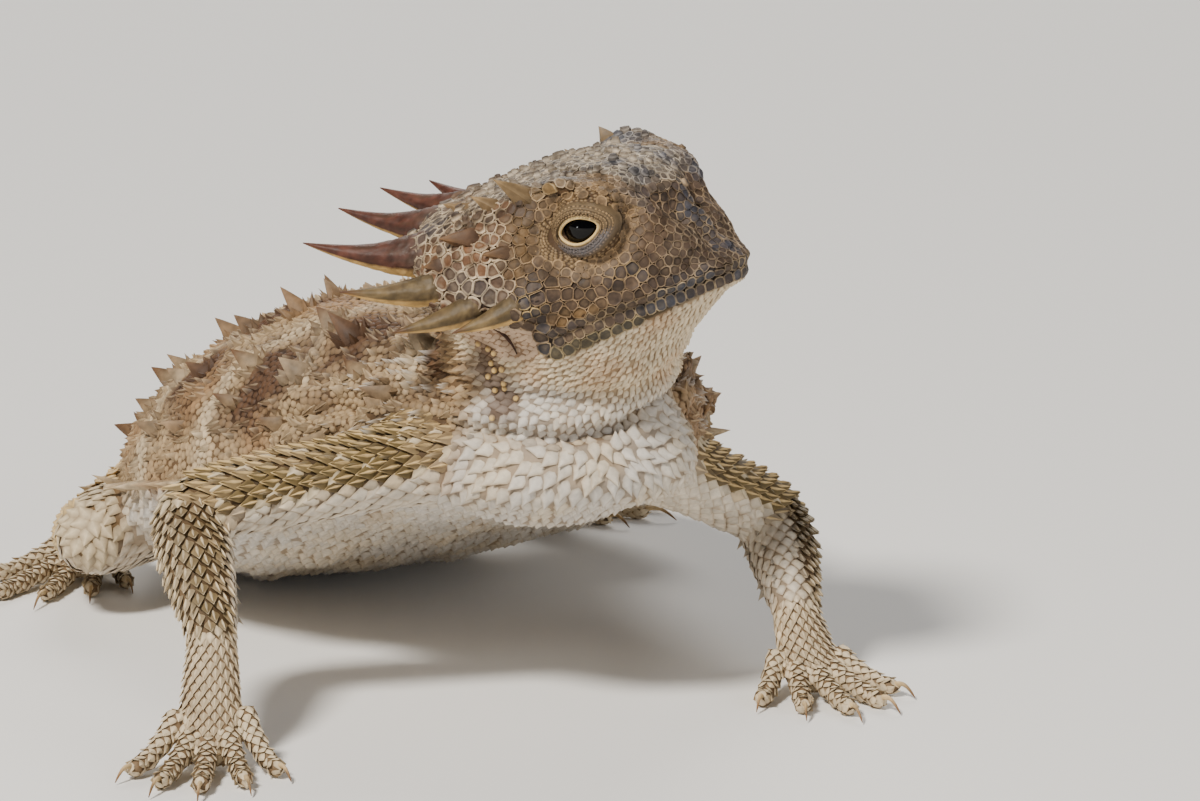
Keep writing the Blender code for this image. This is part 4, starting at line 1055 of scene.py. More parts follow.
def place_on_atlas(skin, u, v):
    """Gives each point of the skin its place on the shared unwrap: its part's tile at u, v."""
    tiles = np.array([loft.tile for loft in skin.lofts])[skin.label]
    local = to_head(skin.spots)
    on_head = skin.label == HEAD_LOFT
    u = np.where(on_head, (local[:, 0] - SKULL[0][0]) / (SKULL[-1][0] - SKULL[0][0]), u)
    v = np.where(on_head, np.arctan2(local[:, 2] + 3.4, -local[:, 1]), v)
    across = np.clip(np.stack([u, (v / (2 * math.pi) + 0.25) % 1], axis=1), 0, 1)
    skin.atlas = tiles[:, :2] + (tiles[:, 2:] - tiles[:, :2]) * across


def painted(skin):
    """The colour of each point of the skin and how white its side is, blended where parts meet."""
    paint = np.zeros((len(skin.spots), 4))
    total = np.zeros(len(skin.spots))
    for number, loft in enumerate(skin.lofts):
        share = blurred(skin.label == number, skin.edges, 0.6, 6)
        used = share > 0.002
        colour, white = hide_paint(loft.kind, skin.spots[used], skin.normals[used])
        paint[used] += share[used, None] * np.column_stack([colour, white])
        total[used] += share[used]
    paint /= total[:, None]
    return paint[:, :3], paint[:, 3]


def trunk_turn(points):
    """Distance behind the shoulders, and -1 under the belly to 1 on the spine of the back."""
    behind = points[:, 1] - SHOULDER_Y
    _, top, widest, under = smooth(TRUNK, np.clip(behind, TRUNK[0][0], TRUNK[-1][0])).T
    rise = np.where(points[:, 2] > widest, (points[:, 2] - widest) / (top - widest),
                    (points[:, 2] - widest) / (widest - under))
    return behind, np.clip(rise, -1, 1)


def hide_paint(kind, points, normals):
    """Colour of the hide by place, and how far a place belongs to the white side below."""
    blotch = noise(points, 3.2, 21) * 0.6 + noise(points, 1.6, 22) * 0.4
    fine = noise(points, 0.8, 23)
    sand, umber, cream, bone, olive, warm, light = (
        linear(colour) for colour in (SAND, UMBER, CREAM, BONE, OLIVE, WARM, LIGHT))
    if kind == "skull":
        return head_paint(to_head(points))["centre"], np.ones(len(points))
    if kind in ("trunk", "neck"):
        behind, rise = trunk_turn(points)
        dark = np.zeros(len(points))
        pale = np.zeros(len(points))
        for place, aside, radius in BLOTCHES:
            reach = np.hypot(behind - place, (np.abs(points[:, 0]) - aside) * 0.85) / radius
            dark = np.maximum(dark, 0.97 * ramp(1.35, 0.5, reach + 0.5 * blotch + 0.25 * fine))
            pale = np.maximum(pale, bell(reach - 1.35, 0.25) * ramp(-0.2, 0.4, behind - place))
        dark = np.maximum(dark * 0.95, 0.5 * ramp(0.1, 0.6, noise(points, 1.9, 26))) * ramp(0.1, 0.4, rise)
        back = mix(sand, warm, 0.7 * ramp(-0.2, 0.5, noise(points, 4.5, 24)))
        back = mix(back, light, np.maximum(pale * 0.7, bell(points[:, 0], 3.6) * ramp(0.6, 0.9, rise) * 0.7))
        back = mix(back, umber, dark)
        front = ramp(-1.5, -4.5, behind) * ramp(0.0, 0.5, -normals[:, 1] + 0.1 * blotch)
        white = np.maximum(ramp(0.02, -0.26, rise + 0.07 * fine), front)
        under = mix(bone, cream, 0.6 * ramp(-0.3, 0.5, blotch))
        under = mix(under, sand, 0.3 * ramp(0.3, 0.8, noise(points, 2.4, 25)))
        colour = mix(back, under, white)
        return mix(colour, linear(NECK_BROWN), 0.8 * neck_patch(to_head(points))), white
    side = np.sign(points[:, 0])
    outer = normals[:, 2] if kind in ("upper_arm", "thigh", "tail") else (
        0.55 * side * normals[:, 0] - 0.45 * normals[:, 1] + 0.7 * normals[:, 2])
    if kind == "forearm":
        outer = np.where(side > 0, 0.85 * normals[:, 0] + 0.2 * normals[:, 2] + 0.25 * normals[:, 1], outer)
    if kind == "tail":
        dark = 0.75 * ramp(0.1, 0.5, np.sin(points[:, 1] * 2 * math.pi / 6.5) * 0.7 + blotch * 0.5)
        white = ramp(0.0, -0.4, outer)
        return mix(mix(sand, umber, dark), cream, white), white
    if kind in ("palm", "digit"):
        white = ramp(0.2, -0.3, outer)
        return mix(mix(linear(PAW), sand, 0.3 + 0.4 * blotch), cream, white), white
    front = kind == "forearm"
    white = ramp(0.28 if front else 0.02, 0.05 if front else -0.18, outer + 0.12 * blotch)
    main = mix(olive, sand, {"upper_arm": 0.0, "forearm": 0.25}.get(kind, 0.7))
    top = mix(main, sand, 0.55 * ramp(-0.1, 0.5, -blotch))
    top = mix(top, umber, (0.15 if front else 0.45) * ramp(0.0, 0.6, blotch))
    # Painted light: the outer side of each forearm is painted paler, so that the left one, turned away from
    # the key light, does not sink into shade
    top = mix(top, light, 0.5 * front * ramp(0.3, 0.9, side * normals[:, 0]))
    return mix(top, mix(bone, cream, 0.4), white), white


def neck_patch(local):
    """The dark patch with golden beads behind the jaw, as a share."""
    folded = fold_over(local, 1)
    reach = distance_from(folded, NECK_PATCH)
    return ramp(1.9, 0.9, reach + 0.5 * noise(folded, 0.9, 33))


def head_paint(local):
    """What covers the head, by place: colour of a plate's middle and rim, share of its rim, height,
    distance to the next plate and how far its middle is dished.
    """
    folded = fold_over(local, 1)
    x, y, z = np.moveaxis(folded, -1, 0)
    blotch = noise(folded, 2.2, 31) * 0.6 + noise(folded, 1.0, 32) * 0.4
    cheek, slate, rust, olive = (linear(colour) for colour in (CHEEK, SLATE, RUST, OLIVE))
    ochre = 0.7 * ramp(0.15, 0.55, noise(folded, 2.8, 36))
    look = {
        "centre": mix(mix(cheek, slate, 0.6 * ramp(0.0, 0.5, blotch)), linear(OCHRE_PLATE), ochre),
        "rim": mix(linear(CHEEK_RIM), linear(GOLDEN_RIM), ramp(0.0, 0.6, blotch)),
        "share": np.full(x.shape, 0.075),
        "height": np.full(x.shape, 0.15),
        "spacing": np.full(x.shape, 0.8) + 0.16 * noise(folded, 1.4, 34),
        "dish": np.full(x.shape, 0.55),
    }

    def blend(weight, centre, rim, share, height, spacing, dish):
        """Goes over to other plates by a weight."""
        for name, value in zip(look, (centre, rim, share, height, spacing, dish)):
            grow = weight[..., None] if look[name].ndim > weight.ndim else weight
            look[name] = look[name] * (1 - grow) + value * grow

    blend(ramp(3.5, 7.5, x), mix(cheek, slate, 0.8 * ramp(-0.2, 0.4, blotch)), linear(SNOUT_RIM),
          0.11, 0.14, 0.5, 0.5)
    temple = ramp(-2.2, -5.0, x) * ramp(-6.0, -4.0, z)
    fine = noise(folded, 0.7, 35)
    blend(temple, mix(rust, cheek, ramp(-0.5, 0.3, blotch)), linear(TEMPLE_RIM),
          0.18 + 0.06 * fine, 0.22, 0.7, 0.4)
    blend(0.7 * bell_about(folded, (4.6, 5.0, 0.4), 1.9), linear(LORE), linear(LORE_RIM),
          0.07, 0.1, 0.7, 0.3)
    roots = np.min([np.linalg.norm(folded - root, axis=-1) for _, root, _, _, _ in HORNS], axis=0)
    blend(bell(np.maximum(roots - 1.2, 0), 1.0) * temple, mix(cheek, slate, ramp(-0.4, 0.4, blotch)),
          linear(HORN_FOOT_RIM), 0.11, 0.15, 1.25, 0.45)
    # The crown's pale rims are partly painted highlight, and its darker middles partly painted shade in its
    # pits
    crown = ramp(2.4, 3.6, z + 0.14 * np.maximum(x, 0)) * ramp(7.4, 6.4, y)
    blend(crown, mix(linear(CROWN), linear(CROWN_DARK), ramp(-0.4, 0.4, blotch + fine)),
          linear(CROWN_RIM), 0.2, 0.2, 0.52, 0.1)
    ridge = np.max([bell_about(folded, place, width) for place, width in BLUE_SPOTS], axis=0)
    blend(ridge * 0.9, slate, linear(SLATE_RIM), 0.17, 0.15, 0.6, 0.3)
    blend(bell_about(folded, BROW_SHELF, 0.6), mix(linear(BROW_GOLD), olive, ramp(-0.2, 0.5, blotch)),
          linear(BROW_RIM), 0.12, 0.12, 0.95, 0.2)
    blend(bell(np.maximum(off_eye(folded) - 2.6, 0), 0.8), linear(ORBIT), linear(ORBIT_RIM),
          0.18, 0.1, 0.45, 0.3)
    below = mouth_height(x) - z
    before = x > MOUTH_CORNER - 0.8
    blend(bell(np.abs(below) - 0.3, 0.35) * before * 0.8, mix(cheek, slate, ramp(-0.4, 0.4, blotch)),
          linear(LIP_RIM), 0.14, 0.13, 0.6, 0.2)
    blend(ramp(0.5, 0.8, below) * before, mix(linear(JAW), olive, 0.35 * ramp(-0.1, 0.6, blotch)),
          linear(JAW_RIM), 0.12, 0.16, 0.74, 0.15)
    edge = np.interp(x, *np.array(PLATE_EDGE).T)
    pale = mix(linear(CREAM), linear(THROAT_TAN), ramp(-0.1, 0.5, blotch))
    pale = mix(pale, linear(BONE), ramp(-11.0, -13.5, z))
    pale = mix(pale, linear(EAR), 0.8 * ramp(1.7, 1.1, distance_from(folded, EAR_RECESS)))
    # A dark line painted along the ear's slit: a painted shadow of its fold
    slit = bell_about(folded, EAR_SLIT, 0.3)
    pale = mix(pale, linear(EAR_DARK), np.maximum(neck_patch(local) * 0.85, slit))
    blend(ramp(0.05, -0.2, z - edge), pale, linear(THROAT_RIM), 0.1, 0.1, 0.5, 0.2)
    return look


class Sites:
    """Places on the skin, each with its normal, the way it lies, its sizes, its lift and its colours."""

    def __init__(self, places, way):
        skin = made["skin"]
        found = [skin.tree.find_nearest(Vector(place)) for place in places]
        self.place = np.array([hit[0] for hit in found])
        self.distance = np.array([hit[3] for hit in found])
        corners = skin.corners[[hit[2] for hit in found]]
        share = 1 / (np.linalg.norm(skin.spots[corners] - self.place[:, None], axis=2) + 0.02)
        share /= share.sum(axis=1, keepdims=True)
        self.index = corners[np.arange(len(corners)), share.argmax(axis=1)]
        self.normal = unit((skin.normals[corners] * share[..., None]).sum(axis=1))
        along = np.broadcast_to(way, self.place.shape)
        self.along = flattened(along, self.normal)
        self.atlas = skin.atlas[self.index]
        self.base = (skin.colour[corners] * share[..., None]).sum(axis=1)
        self.white = skin.white[self.index]
        self.shape(1.0, 1.0, 1.0)
        self.toned(1.0, 1.0)

    def toned(self, low, high):
        """Sets the colours of the low and the high parts, as shares of the hide's."""
        self.low = self.base * low
        self.high = self.base * high
        return self

    def shape(self, length, width, height, tilt=0.0):
        """Sets length, width and height in millimetres and the lift of the tip in degrees."""
        one = np.ones(len(self.place))
        self.length, self.width, self.height = length * one, width * one, height * one
        self.tilt = np.radians(tilt * one)
        return self

    def varied(self, random, spread):
        """Makes each a little larger or smaller, darker or lighter than the next."""
        change = random.uniform(1 - spread, 1 + spread, (4, len(self.place)))
        self.length = self.length * change[0]
        self.width = self.width * change[0]
        self.height = self.height * change[1]
        self.low = self.low * change[2][:, None]
        self.high = self.high * change[2][:, None]
        return self

    def part(self, wanted):
        """The wanted ones alone."""
        chosen = object.__new__(Sites)
        for name, value in vars(self).items():
            setattr(chosen, name, value[wanted])
        return chosen


def lie(points):
    """The way that scales point: back along the head, down the chest and back along the trunk."""
    share = (ramp(20.5, 25.0, points[:, 2]) * ramp(-38.0, -44.0, points[:, 1]))[:, None]
    return -HEAD_AXES[0] * share + np.array([0.0, 1.0, -0.8]) * (1 - share)


def lattice(loft, row_gap, pitch, random, jitter, span=(0.0, 1.0)):
    """u, v of staggered rows round a loft: rows a gap apart, sites a pitch apart, shifted by half a pitch."""
    fine = np.linspace(span[0], span[1], 400)
    lines = loft.at(fine[:, None], np.arange(8) * math.pi / 4)
    travelled = np.concatenate([[0], np.cumsum(np.linalg.norm(np.diff(lines, axis=0), axis=2).mean(axis=1))])
    turn = np.linspace(-math.pi / 2, 3 * math.pi / 2, 181)
    us, vs = [], []
    for number, u in enumerate(np.interp(np.arange(row_gap / 2, travelled[-1], row_gap), travelled, fine)):
        ring = loft.at(np.full(181, u), turn)
        girth = gone_along(ring)
        count = max(5, int(round(girth[-1] / pitch / 2)) * 2)
        spots = np.arange(count) + 0.5 * (number % 2) + random.uniform(-jitter, jitter, count)
        us.append(u + random.uniform(-jitter, jitter, count) * row_gap / travelled[-1])
        vs.append(np.interp(spots / count * girth[-1] % girth[-1], girth, turn))
    return np.clip(np.concatenate(us), 0, 1), np.concatenate(vs)


def loft_sites(number, u, v, near):
    """Sites at u, v of a loft, set down on the skin where that is near and belongs to the loft."""
    skin = made["skin"]
    loft = skin.lofts[number]
    ahead = loft.at(np.clip(u + 0.01, 0, 1), v) - loft.at(np.clip(u - 0.01, 0, 1), v)
    sites = Sites(loft.at(u, v), ahead)
    return sites.part((skin.label[sites.index] == number) & (sites.distance < near))


def sampled(wanted, spacing, each, random):
    """Random places on the wanted part of the skin, about so many for each site of the local spacing."""
    skin = made["skin"]
    corners = skin.corners[wanted[skin.corners].all(axis=1)]
    a, b, c = (skin.spots[corners[:, corner]] for corner in range(3))
    gap = spacing[corners].mean(axis=1)
    area = np.linalg.norm(np.cross(b - a, c - a), axis=1) / 2
    pick = np.repeat(np.arange(len(corners)), random.poisson(each * area / (0.87 * gap**2)))
    share = random.random((2, len(pick)))
    share = np.where(share.sum(axis=0) > 1, 1 - share, share)
    places = a[pick] + share[0][:, None] * (b - a)[pick] + share[1][:, None] * (c - a)[pick]
    return places, gap[pick]


def scattered(places, spacing):
    """Numbers of places picked in order, none nearer to one picked before than its spacing."""
    grid = {}
    picked = []
    cells = np.floor(places / spacing.max()).astype(int).tolist()
    for number, (x, y, z) in enumerate(cells):
        near = [other for dx in (-1, 0, 1) for dy in (-1, 0, 1) for dz in (-1, 0, 1)
                for other in grid.get((x + dx, y + dy, z + dz), ())]
        if near and ((places[near] - places[number]) ** 2).sum(axis=1).min() < spacing[number] ** 2:
            continue
        grid.setdefault((x, y, z), []).append(number)
        picked.append(number)
    return np.array(picked)


def tree_of(places):
    """A tree that finds the nearest of some places."""
    tree = KDTree(len(places))
    for number, place in enumerate(places):
        tree.insert(Vector(place), number)
    tree.balance()
    return tree


def spread_out(wanted, spacing, random, rounds, each=12):
    """Places that cover the wanted skin at the local spacing: picked apart, then each moved to the middle
    of the samples that are nearest to it, weighted so that small spacings stay small.
    """
    places, gap = sampled(wanted, spacing, each, random)
    order = random.permutation(len(places))
    places, gap = places[order], gap[order]
    chosen = places[scattered(places, gap * 0.8)]
    weight = gap ** -2.0
    for _ in range(rounds):
        tree = tree_of(chosen)
        owner = np.array([tree.find(Vector(place))[1] for place in places])
        total = np.maximum(np.bincount(owner, weight, len(chosen)), 1e-9)
        chosen = summed(owner, weight[:, None] * places, len(chosen)) / total[:, None]
    return chosen


# Small closed forms: rings of (x along, y across, z up, tone), then the bottom and the top
# A form's tone runs from its low colour at 0 to its high colour at 1; feet, edges and grooves get low tones
# and raised tops high ones, so painted shade lies low on each form and painted light on its top, beside the
# real pale keels and tips
def form_ring(outline, rise, tone):
    """One ring of a small form: its outline, height and tone."""
    count = len(outline)
    return np.column_stack([outline, np.broadcast_to(rise, count), np.broadcast_to(tone, count)])


def leaf_form(keel, point):
    """A scale seen from above as a leaf with its tip behind, with a keel and a point as sharp as asked."""
    outline = np.array([(0.5 + 0.2 * point, 0.0), (0.34, 0.3 - 0.08 * point), (0.0, 0.5), (-0.34, 0.36),
                        (-0.5, 0.0), (-0.34, -0.36), (0.0, -0.5), (0.34, -0.3 + 0.08 * point)])
    rise = np.array([0.42 + 0.4 * keel, 0.25, 0.12, 0.05, 0.0, 0.05, 0.12, 0.25])
    edge = form_ring(outline, rise, 0.25)
    edge[0, 3] = 0.3 + 0.7 * keel
    inner = form_ring(outline * (0.74, 0.62 - 0.3 * keel) + (0.02, 0.0), rise * 0.4 + 0.62 - 0.1 * keel,
                      0.95 - 0.75 * keel)
    inner[0, 2:] = 0.85 + 0.4 * keel, 1.0
    inner[4, 2:] = 0.6, 0.9 - 0.2 * keel
    poles = [(-0.05, 0.0, -0.9, 0.2), (0.06, 0.0, 0.85 + 0.3 * keel, 1.0)]
    return np.vstack([edge, inner, poles]), ring_faces(2, 8)


def keeled_form():
    """A pointed scale whose narrow pale ridge runs from its root out into its tip."""
    outline = np.array([(0.74, 0.0), (0.34, 0.24), (0.0, 0.47), (-0.36, 0.36), (-0.5, 0.0), (-0.36, -0.36),
                        (0.0, -0.47), (0.34, -0.24)])
    rise = np.array([0.8, 0.34, 0.14, 0.04, 0.0, 0.04, 0.14, 0.34])
    edge = form_ring(outline, rise, 0.12)
    body = form_ring(outline * (0.82, 0.8), rise * 0.6 + 0.28, 0.04)
    slope = form_ring(outline * (0.8, 0.3), rise * 0.5 + 0.52, 0.0)
    ridge = form_ring(outline * (0.84, 0.09), rise * 0.5 + 0.72, 0.85)
    edge[0, 3] = ridge[0, 3] = 1.0
    poles = [(-0.05, 0.0, -0.9, 0.0), (0.1, 0.0, 1.2, 1.0)]
    return np.vstack([edge, body, slope, ridge, poles]), ring_faces(4, 8)


def dome_form(sides=6):
    """A grain of skin: a low dome."""
    turn = 2 * math.pi / sides * np.arange(sides)
    circle = np.column_stack([np.cos(turn), np.sin(turn)])
    return np.vstack([form_ring(0.5 * circle, 0.1, 0.0), form_ring(0.34 * circle, 0.72, 0.6),
                      [(0, 0, -0.9, 0.0), (0.02, 0, 1.0, 1.0)]]), ring_faces(2, sides)


def spine_form(sides=8, ridges=4, bulge=1.0):
    """A spine: a ridged cone with a foot in the skin and a tip that bends back, round-sided where bulged."""
    turn = 2 * math.pi * np.arange(sides) / sides
    wave = np.cos(ridges * turn)
    rows = []
    # Tone climbs from the foot to the tip and is lower in the grooves between the ridges: painted shade at
    # the foot and in the grooves, beside the spines' own paler tips
    for level, tone in ((-0.3, 0.0), (0.0, 0.0), (0.2, 0.1), (0.42, 0.3), (0.64, 0.6), (0.84, 0.9)):
        radius = (1 - max(level, 0)) ** (1.15 / bulge) * (1 + 0.12 * wave)
        rows.append(np.column_stack([radius * np.cos(turn) + 0.3 * max(level, 0) ** 2, radius * np.sin(turn),
                                     np.full(sides, level), tone + 0.12 * wave]))
    return np.vstack([*rows, [(0, 0, -0.35, 0.0), (0.3, 0, 1.0, 1.0)]]), ring_faces(6, sides)


def copies(form, sites, patch=PATCH):
    """A copy of a form at each site: points, triangles, colours and places on the unwrap.

    A point is place + along * x * length + across * y * width + normal * z * height, with along and
    normal turned by the site's lift.
    """
    shape, faces = form
    x, y, z, tone = shape.T
    lift = sites.tilt[:, None]
    along = sites.along * np.cos(lift) + sites.normal * np.sin(lift)
    normal = sites.normal * np.cos(lift) - sites.along * np.sin(lift)
    across = np.cross(sites.normal, sites.along)
    points = (sites.place[:, None]
              + along[:, None] * (x * sites.length[:, None])[..., None]
              + across[:, None] * (y * sites.width[:, None])[..., None]
              + normal[:, None] * (z * sites.height[:, None])[..., None])
    return packed(points, faces, tone[None, :], sites, np.stack([x, y], axis=-1)[None], patch)


def packed(points, faces, tone, sites, plan, patch):
    """Joined arrays of many like forms."""
    count, corners = points.shape[:2]
    triangles = faces[None] + (np.arange(count) * corners)[:, None, None]
    colours = sites.low[:, None] + (sites.high - sites.low)[:, None] * np.clip(tone, 0, 1)[..., None]
    spread = np.broadcast_to(plan, (count, corners, 2))
    size = np.abs(spread).max(axis=(1, 2), keepdims=True)
    unwrap = sites.atlas[:, None] + spread / size * patch / 2
    points = points.reshape(-1, 3)
    points[:, 2] = np.maximum(points[:, 2], FLOOR + 0.01)
    return points, triangles.reshape(-1, 3), colours.reshape(-1, 3), unwrap.reshape(-1, 2)


def cell_reach(places, normal, along, spacing, turns=12, neighbours=14):
    """Reach of each plate in every direction: to its border with each neighbour.

    For a neighbour at distance d and turn a the border is d * share / cos(turn - a).
    """
    tree = tree_of(places)
    around = [tree.find_n(Vector(place), neighbours + 1)[1:] for place in places]
    near = np.array([[found[1] for found in row] for row in around])
    offset = places[near] - places[:, None]
    across = np.cross(normal, along)
    angle = np.arctan2((offset * across[:, None]).sum(axis=2), (offset * along[:, None]).sum(axis=2))
    distance = np.linalg.norm(offset, axis=2)
    share = spacing[:, None] / (spacing[:, None] + spacing[near])
    turn = 2 * math.pi * np.arange(turns) / turns
    facing = np.cos(turn[None, None] - angle[..., None])
    border = np.where(facing > 0.12, (distance * share)[..., None] / np.maximum(facing, 0.12), np.inf)
    return np.minimum(border.min(axis=1), spacing[:, None] * 0.85)


def plate_copies(sites, reach, share, height, dish):
    """Polygon plates that follow the skin: a raised rim at the border that each shares with the next,
    round a lower middle. The rim's colour comes and goes.
    """
    skin = made["skin"]
    count, turns = reach.shape
    turn = 2 * math.pi * np.arange(turns) / turns
    across = np.cross(sites.normal, sites.along)
    plan = np.stack([reach * np.cos(turn), reach * np.sin(turn)], axis=-1)
    border = sites.place[:, None] + sites.along[:, None] * plan[..., :1] + across[:, None] * plan[..., 1:]
    found = [skin.tree.find_nearest(Vector(spot)) for spot in border.reshape(-1, 3)]
    border = np.array([hit[0] for hit in found]).reshape(count, turns, 3)
    facing = np.array([hit[1] for hit in found]).reshape(count, turns, 3)
    facing = unit(facing + sites.normal[:, None])
    one = np.ones(count)
    points, tones, plans = [], [], []
    # The raised rim takes the high colour and the lower middle the low one: partly the plates' own colours,
    # partly painted highlight on the rims and painted shade in the hollow middles
    rings = ((one, -0.15 * one, 0.5), (one, height * 0.9, 1.0), (1 - share, height, 0.8),
             (1 - 2 * share, height * (1 - dish), 0.0), (0.45 * one, height * (1.05 - dish), 0.1))
    for inner, level, tone in rings:
        points.append(sites.place[:, None] + (border - sites.place[:, None]) * inner[:, None, None]
                      + facing * level[:, None, None])
        tones.append(np.full((count, turns), tone))
        plans.append(plan * inner[:, None, None])
    for level in (-0.3 * one, height * (1.1 - dish)):
        points.append((sites.place + sites.normal * level[:, None])[:, None])
        tones.append(np.full((count, 1), 0.12))
        plans.append(np.zeros((count, 1, 2)))
    points = np.concatenate(points, axis=1)
    points = points + sites.normal[:, None] * (0.05 * noise(points, 0.5, 64))[..., None]
    tones = np.concatenate(tones, axis=1) * (0.66 + 0.8 * noise(points, 0.5, 61))
    tones = tones + 0.1 * noise(points, 0.3, 62)
    return packed(points, ring_faces(5, turns), tones, sites, np.concatenate(plans, axis=1), PATCH)


def make_piece(name, batches, finish, sharp=38.0):
    """One joined piece from batches of copies, with its colours and its unwrap."""
    points, triangles, colours, unwrap = joined(batches)
    mesh = new_mesh(name, points, triangles)
    set_tint(mesh, colours)
    layer = mesh.uv_layers.new(name="OFBake")
    layer.data.foreach_set("uv", unwrap[triangles.ravel()].astype(np.float32).ravel())
    return add_piece(name, mesh, material_of(finish), sharp)


def set_tint(mesh, colours):
    """Stores a colour for every point of a mesh."""
    tint = mesh.color_attributes.new("tint", "FLOAT_COLOR", "POINT")
    solid = np.column_stack([np.clip(colours, 0, 1), np.ones(len(colours))])
    tint.data.foreach_set("color", solid.astype(np.float32).ravel())


def add_piece(name, mesh, material, sharp=0.0):
    """Puts a finished mesh in the scene as a piece of the model."""
    piece = bpy.data.objects.new(name, mesh)
    bpy.context.scene.collection.objects.link(piece)
    mesh.materials.append(material)
    mesh.shade_smooth()
    if sharp:
        mesh.set_sharp_from_angle(angle=math.radians(sharp))
    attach(piece, "root")
    return piece


# Finishes of keratin and hide: grain of the bumps per metre, their depth in mm, roughness, mottling
FINISHES = {
    "hide": (3200.0, 0.05, 0.68, 0.16),
    "scales": (4200.0, 0.03, 0.6, 0.16),
    "plates": (5200.0, 0.05, 0.58, 0.3),
    "spines": (3400.0, 0.05, 0.58, 0.3),
    "keratin": (2400.0, 0.09, 0.52, 0.34),
}


# Share of light that hide and keratin throw back, and roughness and share of the wet eye
HIDE_SPECULAR = 0.25
EYE_ROUGHNESS = 0.06
EYE_SPECULAR = 0.2


def tinted(name):
    """A new material: itself, its nodes, its shader and the stored colour of the mesh."""
    material = bpy.data.materials.new(name)
    material.use_nodes = True
    tree = material.node_tree
    tint = tree.nodes.new("ShaderNodeAttribute")
    tint.attribute_name = "tint"
    return material, tree, tree.nodes["Principled BSDF"], tint.outputs["Color"]


def material_of(finish):
    """Dry hide or keratin, made once: the stored colour, mottled, with a grain of bumps and uneven gloss."""
    if finish in bpy.data.materials:
        return bpy.data.materials[finish]
    grain, depth, roughness, mottling = FINISHES[finish]
    material, tree, shader, tint = tinted(finish)

    def add(kind, **settings):
        """A node with its inputs set by name."""
        node = tree.nodes.new(kind)
        for name, value in settings.items():
            node.inputs[name.replace("_", " ")].default_value = value
        return node

    place = add("ShaderNodeTexCoord")
    mottle = add("ShaderNodeTexNoise", Scale=grain * 0.45, Detail=4.0)
    fine = add("ShaderNodeTexNoise", Scale=grain, Detail=3.0)
    shade = add("ShaderNodeMapRange", From_Min=0.3, From_Max=0.7, To_Min=1 - mottling, To_Max=1 + mottling)
    gloss = add("ShaderNodeMapRange", To_Min=roughness - 0.12, To_Max=roughness + 0.12)
    bump = add("ShaderNodeBump", Strength=0.6, Distance=depth * MM)
    colour = add("ShaderNodeVectorMath")
    colour.operation = "SCALE"
    for source, target in (
        (place.outputs["Object"], mottle.inputs["Vector"]),
        (place.outputs["Object"], fine.inputs["Vector"]),
        (mottle.outputs["Fac"], shade.inputs["Value"]),
        (mottle.outputs["Fac"], gloss.inputs["Value"]),
        (tint, colour.inputs[0]),
        (shade.outputs["Result"], colour.inputs["Scale"]),
        (colour.outputs["Vector"], shader.inputs["Base Color"]),
        (gloss.outputs["Result"], shader.inputs["Roughness"]),
        (fine.outputs["Fac"], bump.inputs["Height"]),
        (bump.outputs["Normal"], shader.inputs["Normal"]),
    ):
        tree.links.new(source, target)
    shader.inputs["Specular IOR Level"].default_value = HIDE_SPECULAR
    return material


def eye_material():
    """A wet, near-black eye."""
    material, tree, shader, tint = tinted("eye")
    tree.links.new(tint, shader.inputs["Base Color"])
    shader.inputs["Roughness"].default_value = EYE_ROUGHNESS
    shader.inputs["Specular IOR Level"].default_value = EYE_SPECULAR
    return material


def size_property(name, description, default, low, high=2.0, kind="NONE"):
    """A size that a user may change."""
    return FloatProperty(name=name, description=description, default=default, min=low, max=high, subtype=kind)


class LizardSizes(bpy.types.PropertyGroup):
    """Sizes that a user may change before the pieces are made."""

    back_grain: size_property("Back grain", "Distance between the grains of the back, in mm", 0.53, 0.4)
    belly_scale: size_property("Belly scale", "Distance between the belly's scales, in mm", 0.98, 0.5)
    limb_scale: size_property("Limb scale", "Distance between the limbs' scales, in mm", 1.1, 0.5)
    plate: size_property("Head plate", "Size of the head's plates beside real ones", 1.0, 0.5, 2.0, "FACTOR")
    spine: size_property("Spine height", "Height of the spines beside real ones", 1.0, 0.3, 1.5, "FACTOR")


def colour_property(name, description, colour):
    """A colour that a user may change, from linear shares of red, green and blue."""
    return FloatVectorProperty(name=name, description=description, subtype="COLOR", default=tuple(colour),
                               min=0.0, max=1.0)


class LizardColours(bpy.types.PropertyGroup):
    """Colours that a user may change before the pieces are made."""

    horn_top: colour_property("Horn, top", "Top of the rear horns", linear(HORN_RED))
    horn_side: colour_property("Horn, side", "Sides of the front horns", linear(HORN_OLIVE))
    horn_edge: colour_property("Horn, edge", "Lower edge of the horns", linear(HORN_OCHRE))
    claw: colour_property("Claws", "Claws of hands and feet", linear(CLAW_AMBER))
    floor: colour_property("Floor", "Floor of the studio", (0.8, 0.79, 0.77))


FLESH = ["torso", "tail", "neck", "head", "lower_jaw"] + [
    f"{part}_{side}" for part in ("upper_arm", "forearm", "hand", "thigh", "shank", "foot") for side in SIDES]
# How much darker and warmer the skin is between its dark and its white scales; the darkening is painted shade
# in the gaps between the scales
GAP_TONES = ((0.32, 0.27, 0.23), (0.55, 0.48, 0.41))
# Low and high parts of the scales of chest, throat and back, as shares of the hide's colour
# At the scales' feet and edges the low parts are painted shade, on chest and throat also the scales' real tan
# edges; the high parts, on their tops and a little brighter than the hide, are painted highlight
CHEST_TONES = ((0.68, 0.58, 0.46), 1.05)
THROAT_TONES = ((0.72, 0.63, 0.54), 1.04)
BACK_TONES = (0.64, 1.06)


